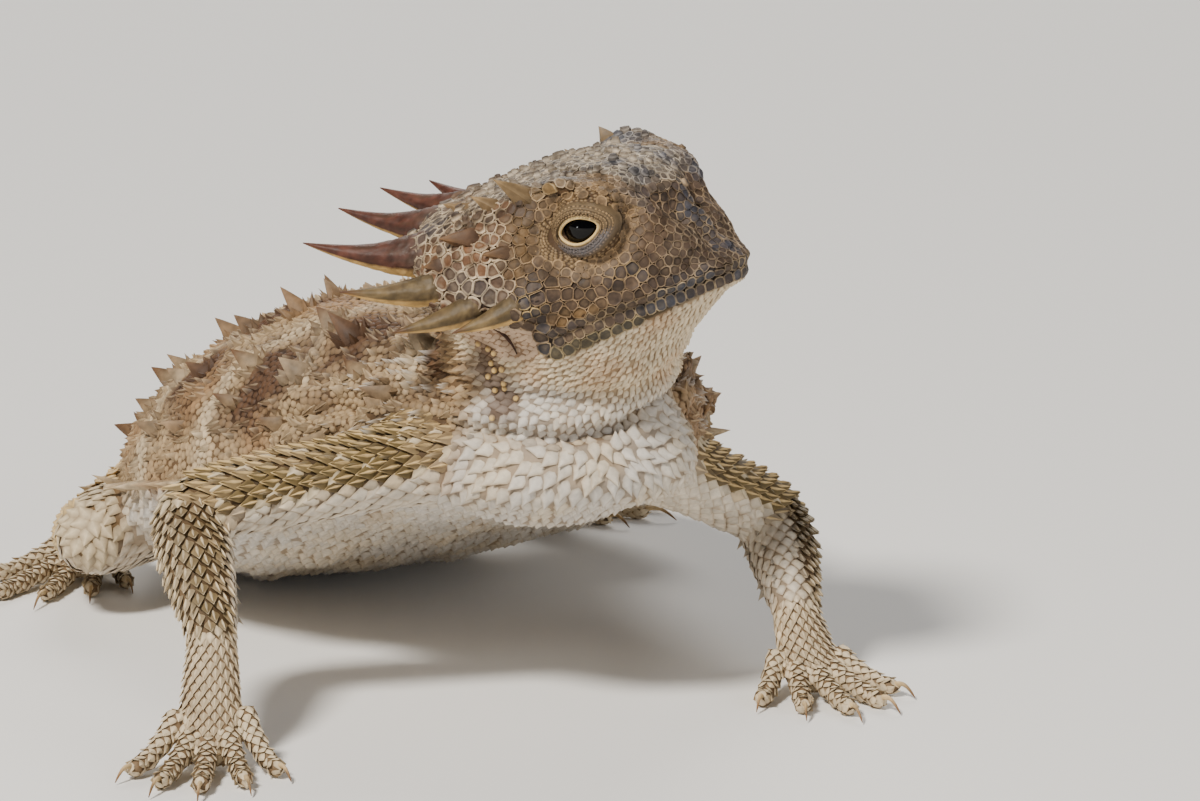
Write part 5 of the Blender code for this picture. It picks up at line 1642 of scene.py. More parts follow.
class LIZARD_OT_skin(bpy.types.Operator):
    """Grow one skin over the whole body"""

    bl_idname = "lizard.skin"
    bl_label = "Skin"

    def execute(self, context):
        skin = grow_skin()
        made["skin"] = skin
        pale = np.maximum(skin.white, np.where(np.isin(skin.kind, ("thigh", "shank")), 0.8, 0.0))
        # The skin shows only between the scales and is painted darker there: painted shade in the gaps
        set_tint(skin.mesh, skin.colour * mix(*GAP_TONES, pale))
        piece = add_piece("skin", skin.mesh, material_of("hide"))
        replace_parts(piece, *FLESH)
        return {"FINISHED"}


class LIZARD_OT_body_scales(bpy.types.Operator):
    """Cover throat, neck, chest, belly, flanks and back with scales and grains"""

    bl_idname = "lizard.body_scales"
    bl_label = "Body scales"

    def execute(self, context):
        sizes = context.scene.lizard_sizes
        skin = made["skin"]
        random = np.random.default_rng(SEED + 1)
        wanted = np.isin(skin.kind, ("trunk", "neck")) | (skin.kind == "skull") & ~skin.plated
        spacing = self.spacing(skin, sizes)
        places = spread_out(wanted, spacing, random, 3)
        sites = Sites(places, lie(places))
        gap = spacing[sites.index]
        head = (skin.kind[sites.index] == "skull") | (skin.kind[sites.index] == "neck")
        white = (sites.white > 0.5) & ~head
        self.pale(sites.part(head), gap[head], random)
        chest = sites.part(white).toned(*CHEST_TONES)
        chest.shape(gap[white] * 1.5, gap[white] * 1.14, 0.15, 9.0).varied(random, 0.05)
        make_piece("belly_scales", [copies(leaf_form(0.12, 0.95), chest)], "scales")
        back = ~head & ~white
        for name, half in (("left", sites.place[:, 0] > 0), ("right", sites.place[:, 0] <= 0)):
            self.back(name, sites.part(back & half), gap[back & half], random)
        return {"FINISHED"}

    def spacing(self, skin, sizes):
        """Distance between scales at each point of the skin."""
        points = skin.spots
        back = sizes.back_grain * (1 + 0.18 * noise(points, 1.4, 42))
        value = back * (1 - skin.white) + sizes.belly_scale * skin.white
        neck = 0.72 - 0.1 * skin.white
        value = np.where(skin.kind == "neck", neck, value)
        local = to_head(points)
        ear = bell_about(fold_over(local, 1), EAR_RECESS, 1.4)
        value = np.where(skin.kind == "skull", 0.45 - 0.1 * ear, value)
        return blurred(value, skin.edges, 0.5, 8)

    def pale(self, sites, gap, random):
        """Small overlapping scales of throat and neck, and golden beads in the dark patch of the neck."""
        local = to_head(sites.place)
        patch = neck_patch(local) > 0.5
        ear = distance_from(fold_over(local, 1), EAR_RECESS) < 1.4
        side = ramp(0.75, 0.95, np.abs(sites.normal[:, 0])) * ~patch * ~ear
        sites.shape(gap * (1.36 + 0.2 * side), gap * 1.1, 0.12 + 0.1 * side, 8.0 + 14 * side)
        sites.height = np.where(ear, 0.03, sites.height)
        sites.tilt = np.where(ear, 0.0, sites.tilt)
        sites.toned(*THROAT_TONES)
        sites.low[ear] = sites.base[ear] * 0.9
        beads = patch & (random.random(len(patch)) < 0.35)
        sites.high[beads] = linear(NECK_BEAD)
        sites.varied(random, 0.1)
        keeled = side > 0.5
        make_piece("throat_scales", [copies(leaf_form(0.1, 0.6), sites.part(~keeled & ~beads)),
                                     copies(leaf_form(0.8, 0.9), sites.part(keeled & ~beads)),
                                     copies(dome_form(8), sites.part(beads).shape(0.5, 0.5, 0.3))],
                   "scales")

    def back(self, name, sites, gap, random):
        """Grains of the back with keeled scales among them, paler at their tips."""
        count = len(sites.place)
        sites.toned(*BACK_TONES)
        sites.shape(gap * 1.26, gap * 1.26, 0.11).varied(random, 0.16)
        raised = ramp(0.1, 0.8, noise(sites.place, 1.3, 41))
        sites.height = sites.height * (1 + 0.9 * raised)
        keeled = random.random(count) < 0.08 + 0.1 * raised
        large = sites.part(keeled)
        large.shape(large.length * 1.6, large.width * 1.2, large.height * 1.9,
                    random.uniform(8, 20, keeled.sum()))
        large.high = mix(large.high, linear(LIGHT), 0.35)
        batches = [copies(dome_form(), sites.part(~keeled)), copies(keeled_form(), large)]
        make_piece(f"back_scales_{name}", batches, "scales")


# Distance between scales beside the limbs' own, and in mm on paws and tail
LIMB_PITCHES = {"upper_arm": 1.0, "forearm": 0.86, "thigh": 0.95, "shank": 0.84}
SMALL_PITCHES = {"palm": 0.7, "digit": 0.66, "tail": 0.95}
# Distance between rows of scales beside the distance in a row
ROW_GAP = 0.76
# How far the keeled scales stand off, in degrees
LIMB_LIFT = {"upper_arm": 11.0, "forearm": 15.0, "thigh": 9.0, "shank": 12.0, "palm": 12.0, "digit": 13.0,
             "tail": 16.0}
# Share of a limb's length that its rows cover; the round ends at knee and elbow get other scales
ROW_SPANS = {"upper_arm": (0.0, 0.95), "thigh": (0.0, 0.8), "shank": (0.1, 1.0), "forearm": (0.05, 1.0)}


class LIZARD_OT_limb_scales(bpy.types.Operator):
    """Cover limbs, hands, feet and tail with keeled scales"""

    bl_idname = "lizard.limb_scales"
    bl_label = "Limb scales"

    def execute(self, context):
        random = np.random.default_rng(SEED + 3)
        pitch = context.scene.lizard_sizes.limb_scale
        pitches = {**{kind: pitch * share for kind, share in LIMB_PITCHES.items()}, **SMALL_PITCHES}
        batches = {"limb_scales": [], "digit_scales": [], "tail_scales": []}
        placed = []
        for number, loft in enumerate(made["skin"].lofts):
            if loft.kind not in pitches:
                continue
            size = pitches[loft.kind]
            small = loft.kind in ("palm", "digit")
            span = ROW_SPANS.get(loft.kind, (0.0, 1.0))
            u, v = lattice(loft, size * ROW_GAP, size, random, 0.03 if small else 0.08, span)
            sites = loft_sites(number, u, v, 0.5 if small else 2.0)
            sites = sites.part(scattered(sites.place, np.full(len(sites.place), size * 0.5)))
            placed.append(sites.place)
            top = 1 - sites.white
            self.tone(sites, top, small or loft.kind == "forearm")
            thick = 0.085 if small else 0.2 * size
            lift = LIMB_LIFT[loft.kind]
            narrow = 1 - 0.012 * (lift - 10) * top
            sites.shape(size * (1.2 + 0.005 * lift * top), size * 1.05 * narrow, thick * (0.8 + 0.5 * top),
                        6.0 + lift * top)
            sites.varied(random, 0.07 if small else 0.15)
            group = "digit_scales" if small else "tail_scales" if loft.kind == "tail" else "limb_scales"
            if loft.kind == "digit":
                sites.low = mix(sites.low, sites.high, 0.3)
            form = leaf_form(0.45, 0.6) if loft.kind in ("thigh", "shank", "digit") else keeled_form()
            batches[group].append(copies(form, sites.part(top > 0.5)))
            batches[group].append(copies(leaf_form(0.1, 0.6), sites.part(top <= 0.5)))
        between = self.between(np.vstack(placed), pitch, random)
        batches["limb_scales"].append(copies(leaf_form(0.45, 0.6), between))
        for name, batch in batches.items():
            make_piece(name, batch, "scales")
        return {"FINISHED"}

    def between(self, placed, pitch, random):
        """Scales for what the rows leave bare at knees, elbows and where a limb leaves the body."""
        skin = made["skin"]
        small = np.isin(skin.kind, ("palm", "digit"))
        wanted = small | np.isin(skin.kind, (*LIMB_PITCHES, "tail"))
        spacing = np.where(small, 0.5, pitch * 0.8)
        spots, gap = sampled(wanted, spacing, 8, random)
        tree = tree_of(placed)
        bare = np.array([tree.find(Vector(spot))[2] for spot in spots])
        free = bare > gap * np.where(gap < 0.6, 0.85, 0.62)
        spots, gap = spots[free], gap[free]
        chosen = scattered(spots, gap * 0.9)
        sites = Sites(spots[chosen], (0.0, 1.0, -0.6))
        ends = np.array([[loft.at(u, 0.0) + loft.at(u, math.pi) for u in (0.0, 1.0)] for loft in skin.lofts])
        ways = unit(np.diff(ends.reshape(-1, 2, 3), axis=1)[:, 0])
        sites.along = flattened(ways[skin.label[sites.index]] - (0.0, 0.0, 0.7), sites.normal)
        self.tone(sites, 1 - sites.white, True)
        return sites.shape(gap[chosen] * 1.6, gap[chosen] * 1.4, 0.16 * gap[chosen], 7.0)

    def tone(self, sites, top, pale):
        """Dark scales with golden keels above, white ones with tan edges below."""
        keel = linear(PALE_KEEL) if pale else linear(GOLD)
        sites.low = mix(sites.base * (0.66, 0.54, 0.42), sites.base * 0.72, top)
        sites.high = mix(sites.base * 1.05, keel * 0.9 + sites.base * 0.15, top)


class LIZARD_OT_head_plates(bpy.types.Operator):
    """Cover the head with polygon plates that share raised rims"""

    bl_idname = "lizard.head_plates"
    bl_label = "Head plates"

    def execute(self, context):
        skin = made["skin"]
        random = np.random.default_rng(SEED + 4)
        local = to_head(skin.spots)
        wanted = skin.plated.copy()
        for side in SIDES:
            along, outer, up = eye_frame(skin.spots, side)
            wanted &= ~((np.hypot(along / PLATES_OFF_EYE[0], up / PLATES_OFF_EYE[1]) < 1) & (outer > 0.4))
            wanted &= distance_from(local, mirrored(NOSTRIL_CENTRE, side)) > PLATES_OFF_NOSTRIL
        factor = context.scene.lizard_sizes.plate
        places = spread_out(wanted, head_paint(local)["spacing"] * factor, random, 2, 20)
        lips = lip_rows(LIP_PITCH * factor)
        gap = mouth_height(to_head(places)[:, 0]) - to_head(places)[:, 2]
        inner = (np.abs(gap) < LIP_PITCH) & (to_head(places)[:, 0] > MOUTH_CORNER - 0.3)
        clear = distance_from(fold_over(to_head(places), 1), BROW_ROW) > 0.6
        places = np.vstack([places[~inner & clear], lips, brow_rows(BROW_PITCH * factor)])
        sites = Sites(places, -HEAD_AXES[0])
        local = to_head(sites.place)
        look = head_paint(local)
        reach = cell_reach(sites.place, sites.normal, sites.along, look["spacing"] * factor)
        brow = np.arange(len(places)) >= np.sum(~inner & clear) + len(lips)
        shade = random.uniform(0.66, 1.3, (len(places), 1))
        sites.low = look["centre"] * shade
        sites.high = look["rim"] * random.uniform(0.8, 1.2, (len(places), 1))
        height = look["height"] * random.uniform(0.75, 1.25, len(places))
        dish = look["dish"] + random.uniform(-0.35, 0.25, len(places))
        bumps = (random.random(len(places)) < 0.16) & (local[:, 2] > 1.5)
        bumps |= (random.random(len(places)) < 0.1) & (local[:, 0] < -3)
        height[bumps] *= BUMP_HEIGHT
        dish[bumps] = BUMP_DISH
        height[brow], dish[brow] = BROW_PLATE
        for side, half in (("left", local[:, 1] > 0), ("right", local[:, 1] <= 0)):
            batch = plate_copies(sites.part(half), reach[half], look["share"][half], height[half], dish[half])
            make_piece(f"head_plates_{side}", [batch, self.ear_fold_shadow(side)], "plates", 50.0)
        return {"FINISHED"}

    def ear_fold_shadow(self, side):
        """A painted shadow along the edge of the fold that hides the ear: a dark, thin cord half sunk in the
        skin.
        """
        share = np.linspace(0, 1, 16)[:, None]
        start, end = (from_head(mirrored(spot, side)) for spot in EAR_SLIT)
        sites = Sites(start + np.array([[0.0], [0.5], [1.0]]) * (end - start), end - start)
        first, middle, last = sites.place + sites.normal * (0.06, 0.06, 0.06)
        line = first * (1 - share) + last * share + (middle - (first + last) / 2) * 4 * share * (1 - share)
        width = 0.03 + 0.07 * np.sin(math.pi * share[:, 0])
        points, triangles = tube(line, width, width * 1.4, sites.normal[1], 8)
        tint = np.broadcast_to(linear(EAR_FOLD_SHADOW), points.shape)
        return points, triangles, tint, sites.atlas[0] + points[:, :2] * 1e-4


def brow_rows(pitch):
    """Places of the larger scales along both brows."""
    row = spots_along(BROW_ROW, pitch)
    return np.vstack([from_head(mirrored(spot, side)) for side in SIDES for spot in row])


def lip_rows(pitch):
    """Places of one row of scales above and one below the mouth, all round the snout."""
    tree = made["skin"].tree
    turns = np.radians(np.linspace(-128, 128, 600))
    rows = []
    for above in LIP_ROWS:
        line = []
        height = -5.0
        for turn in turns:
            way = np.array([math.cos(turn), math.sin(turn), 0.0])
            for _ in range(3):
                start = from_head(np.array([2.0, 0.0, height]) + way * 14)
                hit = tree.ray_cast(Vector(start), Vector(-(way @ HEAD_AXES)))[0]
                height = float(mouth_height(to_head(np.array(hit))[0])) + above
            line.append(hit)
        line = np.array(line)
        line = line[to_head(line)[:, 0] > MOUTH_CORNER]
        rows.append(spots_along(line, pitch, pitch * (0.5 if above > 0 else 0.9)))
    return np.vstack(rows)


def cones(places, tips, radius, way, low, high, sink=0.0):
    """Sites for spines, from the nearest spots of the skin towards their tips."""
    sites = Sites(places, way)
    run = tips - sites.place
    sites.height = np.linalg.norm(run, axis=1)
    sites.normal = run / sites.height[:, None]
    sites.place = sites.place - sites.normal * sink
    sites.along = unit(np.cross(np.cross(sites.normal, way), sites.normal))
    sites.length = sites.width = radius * np.ones(len(places))
    sites.low, sites.high = low, high
    return sites


class LIZARD_OT_spines(bpy.types.Operator):
    """Set the spines of back, flanks, tail, limbs, neck and head"""

    bl_idname = "lizard.spines"
    bl_label = "Spines"

    def execute(self, context):
        self.random = np.random.default_rng(SEED)
        self.factor = context.scene.lizard_sizes.spine
        self.trunk_spines()
        self.tail_spines()
        self.limb_spines()
        self.head_spines()
        self.neck_spines()
        return {"FINISHED"}

    def plant(self, places, starts, lean, height, radius, dark_foot=0.6, tip=LIGHT):
        """Spines from the skin near some places, that point away from their starts and lean."""
        base = Sites(places, lean)
        way = unit(unit(base.place - starts) + base.normal + lean)
        height = height * self.factor
        lean = np.broadcast_to(lean, way.shape)
        sites = cones(base.place, base.place + way * height[:, None], radius, lean,
                      base.base * dark_foot, mix(base.base, linear(tip), 0.35), SPINE_SINK)
        return sites, base

    def rosettes(self, sites, base, random):
        """A ring of small spines that lean outwards about each large one."""
        batches = []
        across = np.cross(base.normal, base.along)
        for step in range(RING_COUNT):
            angle = 2 * math.pi * step / RING_COUNT + random.uniform(-0.25, 0.25, len(sites.place))
            out = base.along * np.cos(angle)[:, None] + across * np.sin(angle)[:, None]
            ring = sites.part(np.ones(len(sites.place), dtype=bool))
            ring.place = base.place + out * (sites.width * 1.2)[:, None]
            ring.normal = unit(base.normal + out * 0.45 + base.along * 0.4)
            ring.along = out
            ring.height = sites.height * random.uniform(0.28, 0.5, len(sites.place))
            ring.length = ring.width = sites.width * random.uniform(0.34, 0.5, len(sites.place))
            ring.high = mix(sites.low, sites.high, 0.7)
            batches.append(copies(spine_form(6, 2), ring))
        return batches

    def trunk_spines(self):
        """Rows of large spines down the back, small ones between, and one fringe along each flank."""
        random = self.random
        rows = []
        for turn, spacing, height, radius in BACK_ROWS:
            for side in (1, -1):
                for place in np.arange(BACK_SPAN[0] + random.uniform(0, spacing), BACK_SPAN[1], spacing):
                    fade = np.interp(place, (0, 8, 40, 56), (0.75, 1.0, 1.0, 0.6))
                    rows.append((place + random.uniform(-0.2, 0.2) * spacing,
                                 turn + random.uniform(-5, 5), side,
                                 height * random.uniform(0.78, 1.22) * fade,
                                 radius * random.uniform(0.7, 0.95) * fade, 1.0))
        for place in np.arange(*FRINGE_SPAN, FRINGE_SPACING):
            for side in (1, -1):
                fade = np.interp(place, (3, 9, 16, 42, 52), (0.25, 0.4, 0.95, 0.95, 0.6))
                height = FRINGE_LENGTH * random.uniform(0.7, 1.0) * fade
                rows.append((place, 0.0, side, height, FRINGE_RADIUS * 0.55, 0.6))
        for place in np.arange(*SMALL_ROWS):
            for turn in SMALL_TURNS:
                for side in (1, -1):
                    rows.append((place + random.uniform(-1.2, 1.2), turn + random.uniform(-5, 5), side,
                                 random.uniform(0.4, 0.8), random.uniform(0.26, 0.4), 1.0))
        behind, turn, side, height, radius, lean = np.array(rows).T
        trunk = made["skin"].lofts[TRUNK_LOFT]
        along = (behind - TRUNK[0][0]) / (TRUNK[-1][0] - TRUNK[0][0])
        u = np.interp(along, np.linspace(0, 1, len(trunk.steps)), trunk.steps / trunk.steps[-1])
        v = np.where(side > 0, np.radians(turn), math.pi - np.radians(turn))
        middle = np.stack([0 * behind, behind + SHOULDER_Y, smooth(TRUNK, behind)[:, 2]], axis=1)
        back = np.array([0.0, 1.0, 0.0]) * lean[:, None]
        sites, base = self.plant(trunk.at(u, v), middle, back, height, radius)
        large = (height > LARGE_SPINE) & (turn > 5)
        dark = random.uniform(0.3, 1.0, len(rows))
        sites.high = np.where(large[:, None], mix(sites.high, linear(SPINE_BROWN), dark), sites.high)
        keep = (base.distance < 1.8) & (made["skin"].kind[base.index] == "trunk")
        body = copies(spine_form(9, 3, 1.25), sites.part(keep))
        rings = self.rosettes(sites.part(keep & large), base.part(keep & large), random)
        make_piece("body_spines", [body, *rings], "spines")

    def tail_spines(self):
        """Flat spines along the sides of the tail, and small ones in rows on top."""
        random = self.random
        tail = made["skin"].lofts[TAIL_LOFT]
        rows = []
        for count, turn, reach in TAIL_ROWS:
            for u in np.linspace(0.1, 0.95, count) + random.uniform(-0.01, 0.01, count):
                rows += [(u, math.radians(turn), reach), (u, math.pi - math.radians(turn), reach)]
        u, v, reach = np.array(rows).T
        reach = reach * (1.1 - 0.6 * u) * random.uniform(0.8, 1.2, len(rows))
        places = tail.at(u, v)
        ahead = unit(tail.at(np.clip(u + 0.02, 0, 1), v) - tail.at(np.clip(u - 0.02, 0, 1), v))
        middle = (places + tail.at(u, v + math.pi)) / 2
        sites, base = self.plant(places, middle, ahead * 1.2, reach, reach * 0.36)
        batch = copies(spine_form(), sites.part(base.distance < 1.2))
        make_piece("tail_spines", [batch], "spines")

    def limb_spines(self):
        """Long pointed scales in rows down the outer side of each limb."""
        random = self.random
        batches = []
        for loft in made["skin"].lofts:
            if loft.kind not in LIMB_SPINES:
                continue
            turns, count, reach = LIMB_SPINES[loft.kind]
            grids = np.meshgrid(np.radians(turns), np.linspace(*LIMB_SPINE_SPAN, count))
            v, u = (grid.ravel() for grid in grids)
            u = u + random.uniform(-0.03, 0.03, len(u))
            v = v + random.uniform(-0.15, 0.15, len(v))
            places = loft.at(u, v)
            ahead = unit(loft.at(u + 0.02, v) - loft.at(u - 0.02, v))
            height = reach * random.uniform(0.7, 1.2, len(u))
            middle = (places + loft.at(u, v + math.pi)) / 2
            sites, base = self.plant(places, middle, ahead * 2.2, height, height * 0.26)
            free = (base.distance < 1.2) & (made["skin"].kind[base.index] == loft.kind)
            batches.append(copies(spine_form(), sites.part(free)))
        make_piece("limb_spines", batches, "spines")

    def head_spines(self):
        """Brow spines, and the short cones behind the eye and round the temples."""
        roots, tips, radii = [], [], []
        for side in SIDES:
            for root, tip, radius in HEAD_SPINES:
                roots.append(mirrored(root, side))
                tips.append(mirrored(tip, side))
                radii.append(radius)
        places = from_head(roots)
        look = head_paint(np.array(roots))
        upper = ramp(2.6, 3.6, np.array(tips)[:, 2])
        foot = mix(linear(SPINE_FOOT), linear(SPINE_FOOT_PALE), upper)
        tone = mix(linear(SPINE_TIP), linear(SPINE_TIP_PALE), upper)
        back = np.broadcast_to(-HEAD_AXES[0], places.shape)
        sites = cones(places, from_head(tips), np.array(radii) * 0.85, back,
                      mix(look["centre"], foot, 0.6), mix(look["centre"], tone, 0.75), 0.2)
        make_piece("head_spines", [copies(spine_form(16, 5, 1.15), sites)], "spines")

    def neck_spines(self):
        """Small white spines along the folds of the neck and shoulders, with smaller ones beside them."""
        random = self.random
        rows = []
        for side in (1, -1):
            for line, _, _ in SHOULDER_FOLDS:
                spots = spots_along(np.array(line) * (side, 1, 1), NECK_PITCH)
                rows.append(spots + random.uniform(-0.5, 0.5, spots.shape))
        places = np.vstack(rows)
        reach = random.uniform(0.5, 1.15, len(places)) * ramp(-33.0, -41.0, places[:, 1])
        places, reach = places[reach > 0.3], reach[reach > 0.3]
        middle = np.array([0.0, -40.0, 22.0])
        sites, _ = self.plant(places, middle, np.array([0.0, 0.9, -0.2]), reach, reach * 0.3, 0.75, BONE)
        sites.high = mix(sites.high, linear(BONE), 0.6)
        make_piece("neck_spines", [copies(spine_form(7, 3), sites)], "spines")


class LIZARD_OT_horns(bpy.types.Operator):
    """Set the ten horns of the crown"""

    bl_idname = "lizard.horns"
    bl_label = "Horns"

    def execute(self, context):
        colours = context.scene.lizard_colours
        for name, root, tip, radius, bend in HORNS:
            main = colours.horn_side if "temporal" in name else colours.horn_top
            for side in SIDES:
                self.grow(f"{name}_{side}", mirrored(root, side), mirrored(tip, side), radius, bend,
                          np.array(main), np.array(colours.horn_edge))
        return {"FINISHED"}

    def grow(self, name, root, tip, radius, bend, main, edge):
        """A horn from inside the skull to its tip, rough at its foot with the shade of pits painted there,
        and streaked along it.
        """
        rings, sides = 52, 30
        share = np.linspace(-0.3, 1, rings)
        crown = "occipital" in name
        swell = 1 + 0.22 * ramp(0.7, 0.1, share) if crown else 1.06 - 0.75 * ramp(0.3, 0.0, share)

        def relief(points):
            """Low lengthwise ridges and roughness that fade towards the tip."""
            turn = 2 * math.pi * np.arange(sides) / sides
            fade = (1 - np.clip(share, 0, 1))[:, None]
            ridges = 0.035 * np.cos(6 * turn + 1.0) + 0.02 * np.cos(11 * turn)
            return 1 + fade * (ridges + 0.08 * noise(points, 0.5, 51) + 0.07 * noise(points, 0.22, 52))

        points, triangles = horn_form(root, tip, radius, bend, share, swell, sides, relief)
        along = np.append(np.repeat(share, sides), [share[0], 1.0])
        line = from_head(root) + (from_head(tip) - from_head(root)) * along[:, None]
        height = ((points - line) @ HEAD_AXES[2] + bend * np.sin(math.pi * np.clip(along, 0, 1))) / (
            radius * (1 - np.clip(along, 0, 0.95) ** 1.25))
        turned = (points - line) / radius
        drawn = np.column_stack([along * 5, turned @ HEAD_AXES[2] * 4, turned @ HEAD_AXES[1] * 4])
        streak = noise(drawn, 1.0, 53)
        pits = noise(points * (1, 1, 1.5), 0.32, 54)
        colour = main * (1 + 0.5 * streak + 0.35 * pits)[:, None]
        colour = mix(colour, linear(HORN_STREAK), 0.6 * ramp(0.1, 0.6, streak))
        colour = mix(colour, linear(HORN_FOOT), 0.5 * ramp(0.4, 0.05, along + 0.1 * streak))
        # Dark spots towards the foot: painted shade of small pits, which the form's relief does not cut
        colour = mix(colour, linear(HORN_PIT_SHADE), 0.6 * ramp(0.1, 0.45, pits) * ramp(0.9, 0.2, along))
        edge = edge * (1 + 0.2 * streak + 0.15 * pits)[:, None]
        colour = mix(colour, edge, ramp(-0.42, -0.58, height + 0.12 * streak))
        colour = mix(colour, linear(HORN_TIP), 0.7 * ramp(0.78, 1.0, along))
        mesh = new_mesh(name + "_keratin", points, triangles)
        set_tint(mesh, colour)
        piece = add_piece(name + "_keratin", mesh, material_of("keratin"))
        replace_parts(piece, name)


class LIZARD_OT_claws(bpy.types.Operator):
    """Set the twenty claws"""

    bl_idname = "lizard.claws"
    bl_label = "Claws"

    def execute(self, context):
        amber = np.array(context.scene.lizard_colours.claw)
        sides, rings = 12, 14
        batches = []
        for start, way, length in made["skin"].claws:
            share = np.linspace(CLAW_START - 0.12, 1.0, rings)
            line = digit_line(np.array(start), way, length, share)
            gone = (share - share[0]) / (1 - share[0])
            radius = 0.24 * (1 - gone) ** 0.6 + 0.03
            points, triangles = tube(line, radius * 0.75, radius, (0.0, 0.0, 1.0), sides)
            tone = mix(amber, linear(CLAW_TIP), ramp(0.5, 1.0, gone))
            tint = np.vstack([np.repeat(tone, sides, axis=0), tone[:1], tone[-1:]])
            batches.append((on_floor(points), triangles, tint))
        points, triangles, tint = joined(batches)
        mesh = new_mesh("claws", points, triangles)
        set_tint(mesh, tint)
        add_piece("claws", mesh, material_of("keratin"))
        return {"FINISHED"}


def almond(turn, grow):
    """The outline of the lids' opening, grown outwards: an oval that is a little pointed at its corners."""
    along = (LID_OPENING[0] + grow) * np.cos(turn)
    up = (LID_OPENING[1] + grow * 0.92) * np.sin(turn) * (0.8 + 0.2 * np.sin(turn) ** 2)
    return along, up


class LIZARD_OT_eyes(bpy.types.Operator):
    """Set the eyes, their folded lids and the beads round them"""

    bl_idname = "lizard.eyes"
    bl_label = "Eyes and lids"

    def execute(self, context):
        random = np.random.default_rng(SEED + 5)
        shine = eye_material()
        lids = []
        beads = []
        for side in SIDES:
            points, triangles, angle = ball(EYE_RADIUS, 40, 56, side, EYE_BULGE)
            mesh = new_mesh(f"eyeball_{side}", points, triangles)
            set_tint(mesh, mix(linear(PUPIL), linear(IRIS_EDGE), ramp(0.7, 0.95, angle)))
            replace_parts(add_piece(f"eyeball_{side}", mesh, shine), f"eye_{side}")
            lids += [self.band(side, *self.lid_profile()), self.band(side, *self.rim_profile())]
            beads += self.beads(side, random)
        make_piece("lids", lids, "scales", 0)
        make_piece("lid_beads", beads, "plates", 60.0)
        return {"FINISHED"}

    def lid_profile(self):
        """Growth, distance from the eye's centre and tone across a lid: fine folds, then back inside."""
        grow = np.linspace(*LID_GROWTH, 44)
        crease = np.abs(np.sin(math.pi * (grow / 0.2) ** 0.9))
        out = LID_RADIUS - 0.32 * ramp(0.6, 0.0, grow) + 0.06 * crease * ramp(0.0, 0.3, grow)
        out = out - 0.35 * ramp(1.0, LID_GROWTH[1], grow)
        # The dips between the folds are painted darker and their crests paler, and the part back inside under
        # the lids dark: painted shade in the creases and under the lids
        tone = 0.25 + 0.5 * crease
        inside = np.linspace(*LID_GROWTH[::-1], 8)
        return (np.concatenate([grow, inside]), np.concatenate([out, np.full(8, EYE_RADIUS + 0.06)]),
                np.concatenate([tone, np.zeros(8)]))

    def rim_profile(self):
        """The thick golden edge of the lids: a round bead along the opening."""
        angle = 2 * math.pi * np.arange(12) / 12
        return 0.08 + 0.15 * np.cos(angle), EYE_RADIUS + 0.28 + 0.18 * np.sin(angle), np.full(12, 2.0)

    def band(self, side, grow, reach, tone):
        """A closed band round the opening: a profile of growth and distance from the eye's centre."""
        steps, sides = 96, len(grow)
        turn = 2 * math.pi * np.arange(steps) / steps
        along, up = almond(turn[:, None], grow[None])
        wave = 1 + 0.006 * noise(np.stack([along * 2, up * 2, grow[None] + 0 * along], axis=-1), 0.5, 63)
        reach = reach[None] * wave
        outer = np.sqrt(np.maximum(reach**2 - along**2 - up**2, 0.2))
        points = from_eye(along, outer, up, side).reshape(-1, 3)
        near = np.arange(steps)[:, None] * sides
        far = (near + sides) % (steps * sides)
        a, b = np.arange(sides), (np.arange(sides) + 1) % sides
        triangles = np.concatenate([np.stack([near + a, near + b, far + b], axis=-1).reshape(-1, 3),
                                    np.stack([near + a, far + b, far + a], axis=-1).reshape(-1, 3)])
        lid = mix(linear(LID_DARK), linear(LID_TAN), np.clip(tone, 0, 1))
        lid = np.where((tone > 1)[:, None], linear(LID_EDGE), lid)
        blue = ramp(-0.2, -0.7, up) * ramp(0.15, 0.4, grow) * ramp(1.2, 0.7, grow) * (tone[None] < 1)
        colours = mix(np.broadcast_to(lid, (*up.shape, 3)), linear(LID_BLUE), 0.5 * blue)
        golden = ramp(0.3, 0.0, grow)[None] * np.ones_like(up) * (tone[None] < 1)
        colours = mix(colours, linear(LID_GOLD), 0.6 * golden)
        centre = Sites(points[:1], -HEAD_AXES[0]).atlas
        unwrap = centre + np.stack([along, up], axis=-1).reshape(-1, 2) * 0.0004
        return points, outward(points, triangles), colours.reshape(-1, 3), unwrap

    def beads(self, side, random):
        """Rows of fine beads along the folds of the lids, in widening ovals on the lids and the skin."""
        batches = []
        skin = made["skin"]
        inwards = Vector(mirrored((0.0, -1.0, 0.0), side) @ HEAD_AXES)
        for row, grow in enumerate(np.arange(*BEAD_ROWS)):
            size = 0.16 + 0.018 * row
            count = int(math.pi * (LID_OPENING[0] + LID_OPENING[1] + 2 * grow) / size / 1.15)
            turn = np.arange(count) + 0.5 * (row % 2) + random.uniform(-0.2, 0.2, count)
            along, up = almond(2 * math.pi * turn / count, grow)
            if grow < BEADS_ON_LID:
                places = from_eye(along, np.sqrt(LID_RADIUS**2 - along**2 - up**2), up, side)
            else:
                starts = from_eye(along, 8.0, up, side)
                places = np.array([skin.tree.ray_cast(Vector(start), inwards)[0] for start in starts])
            ahead = unit(np.roll(places, -1, axis=0) - np.roll(places, 1, axis=0))
            sites = Sites(places, ahead)
            if grow < BEADS_ON_LID:
                sites.normal = unit(places - from_eye(np.zeros(1), np.zeros(1), np.zeros(1), side))
                sites.place = places
                sites.along = ahead
            tan, blue = linear(BEAD_TAN), linear(BEAD_BLUE)
            tone = mix(tan, blue, 0.6 * ramp(-0.3, -1.0, up) * ramp(1.3, 0.6, grow))
            tone = tone * random.uniform(0.75, 1.2, (count, 1))
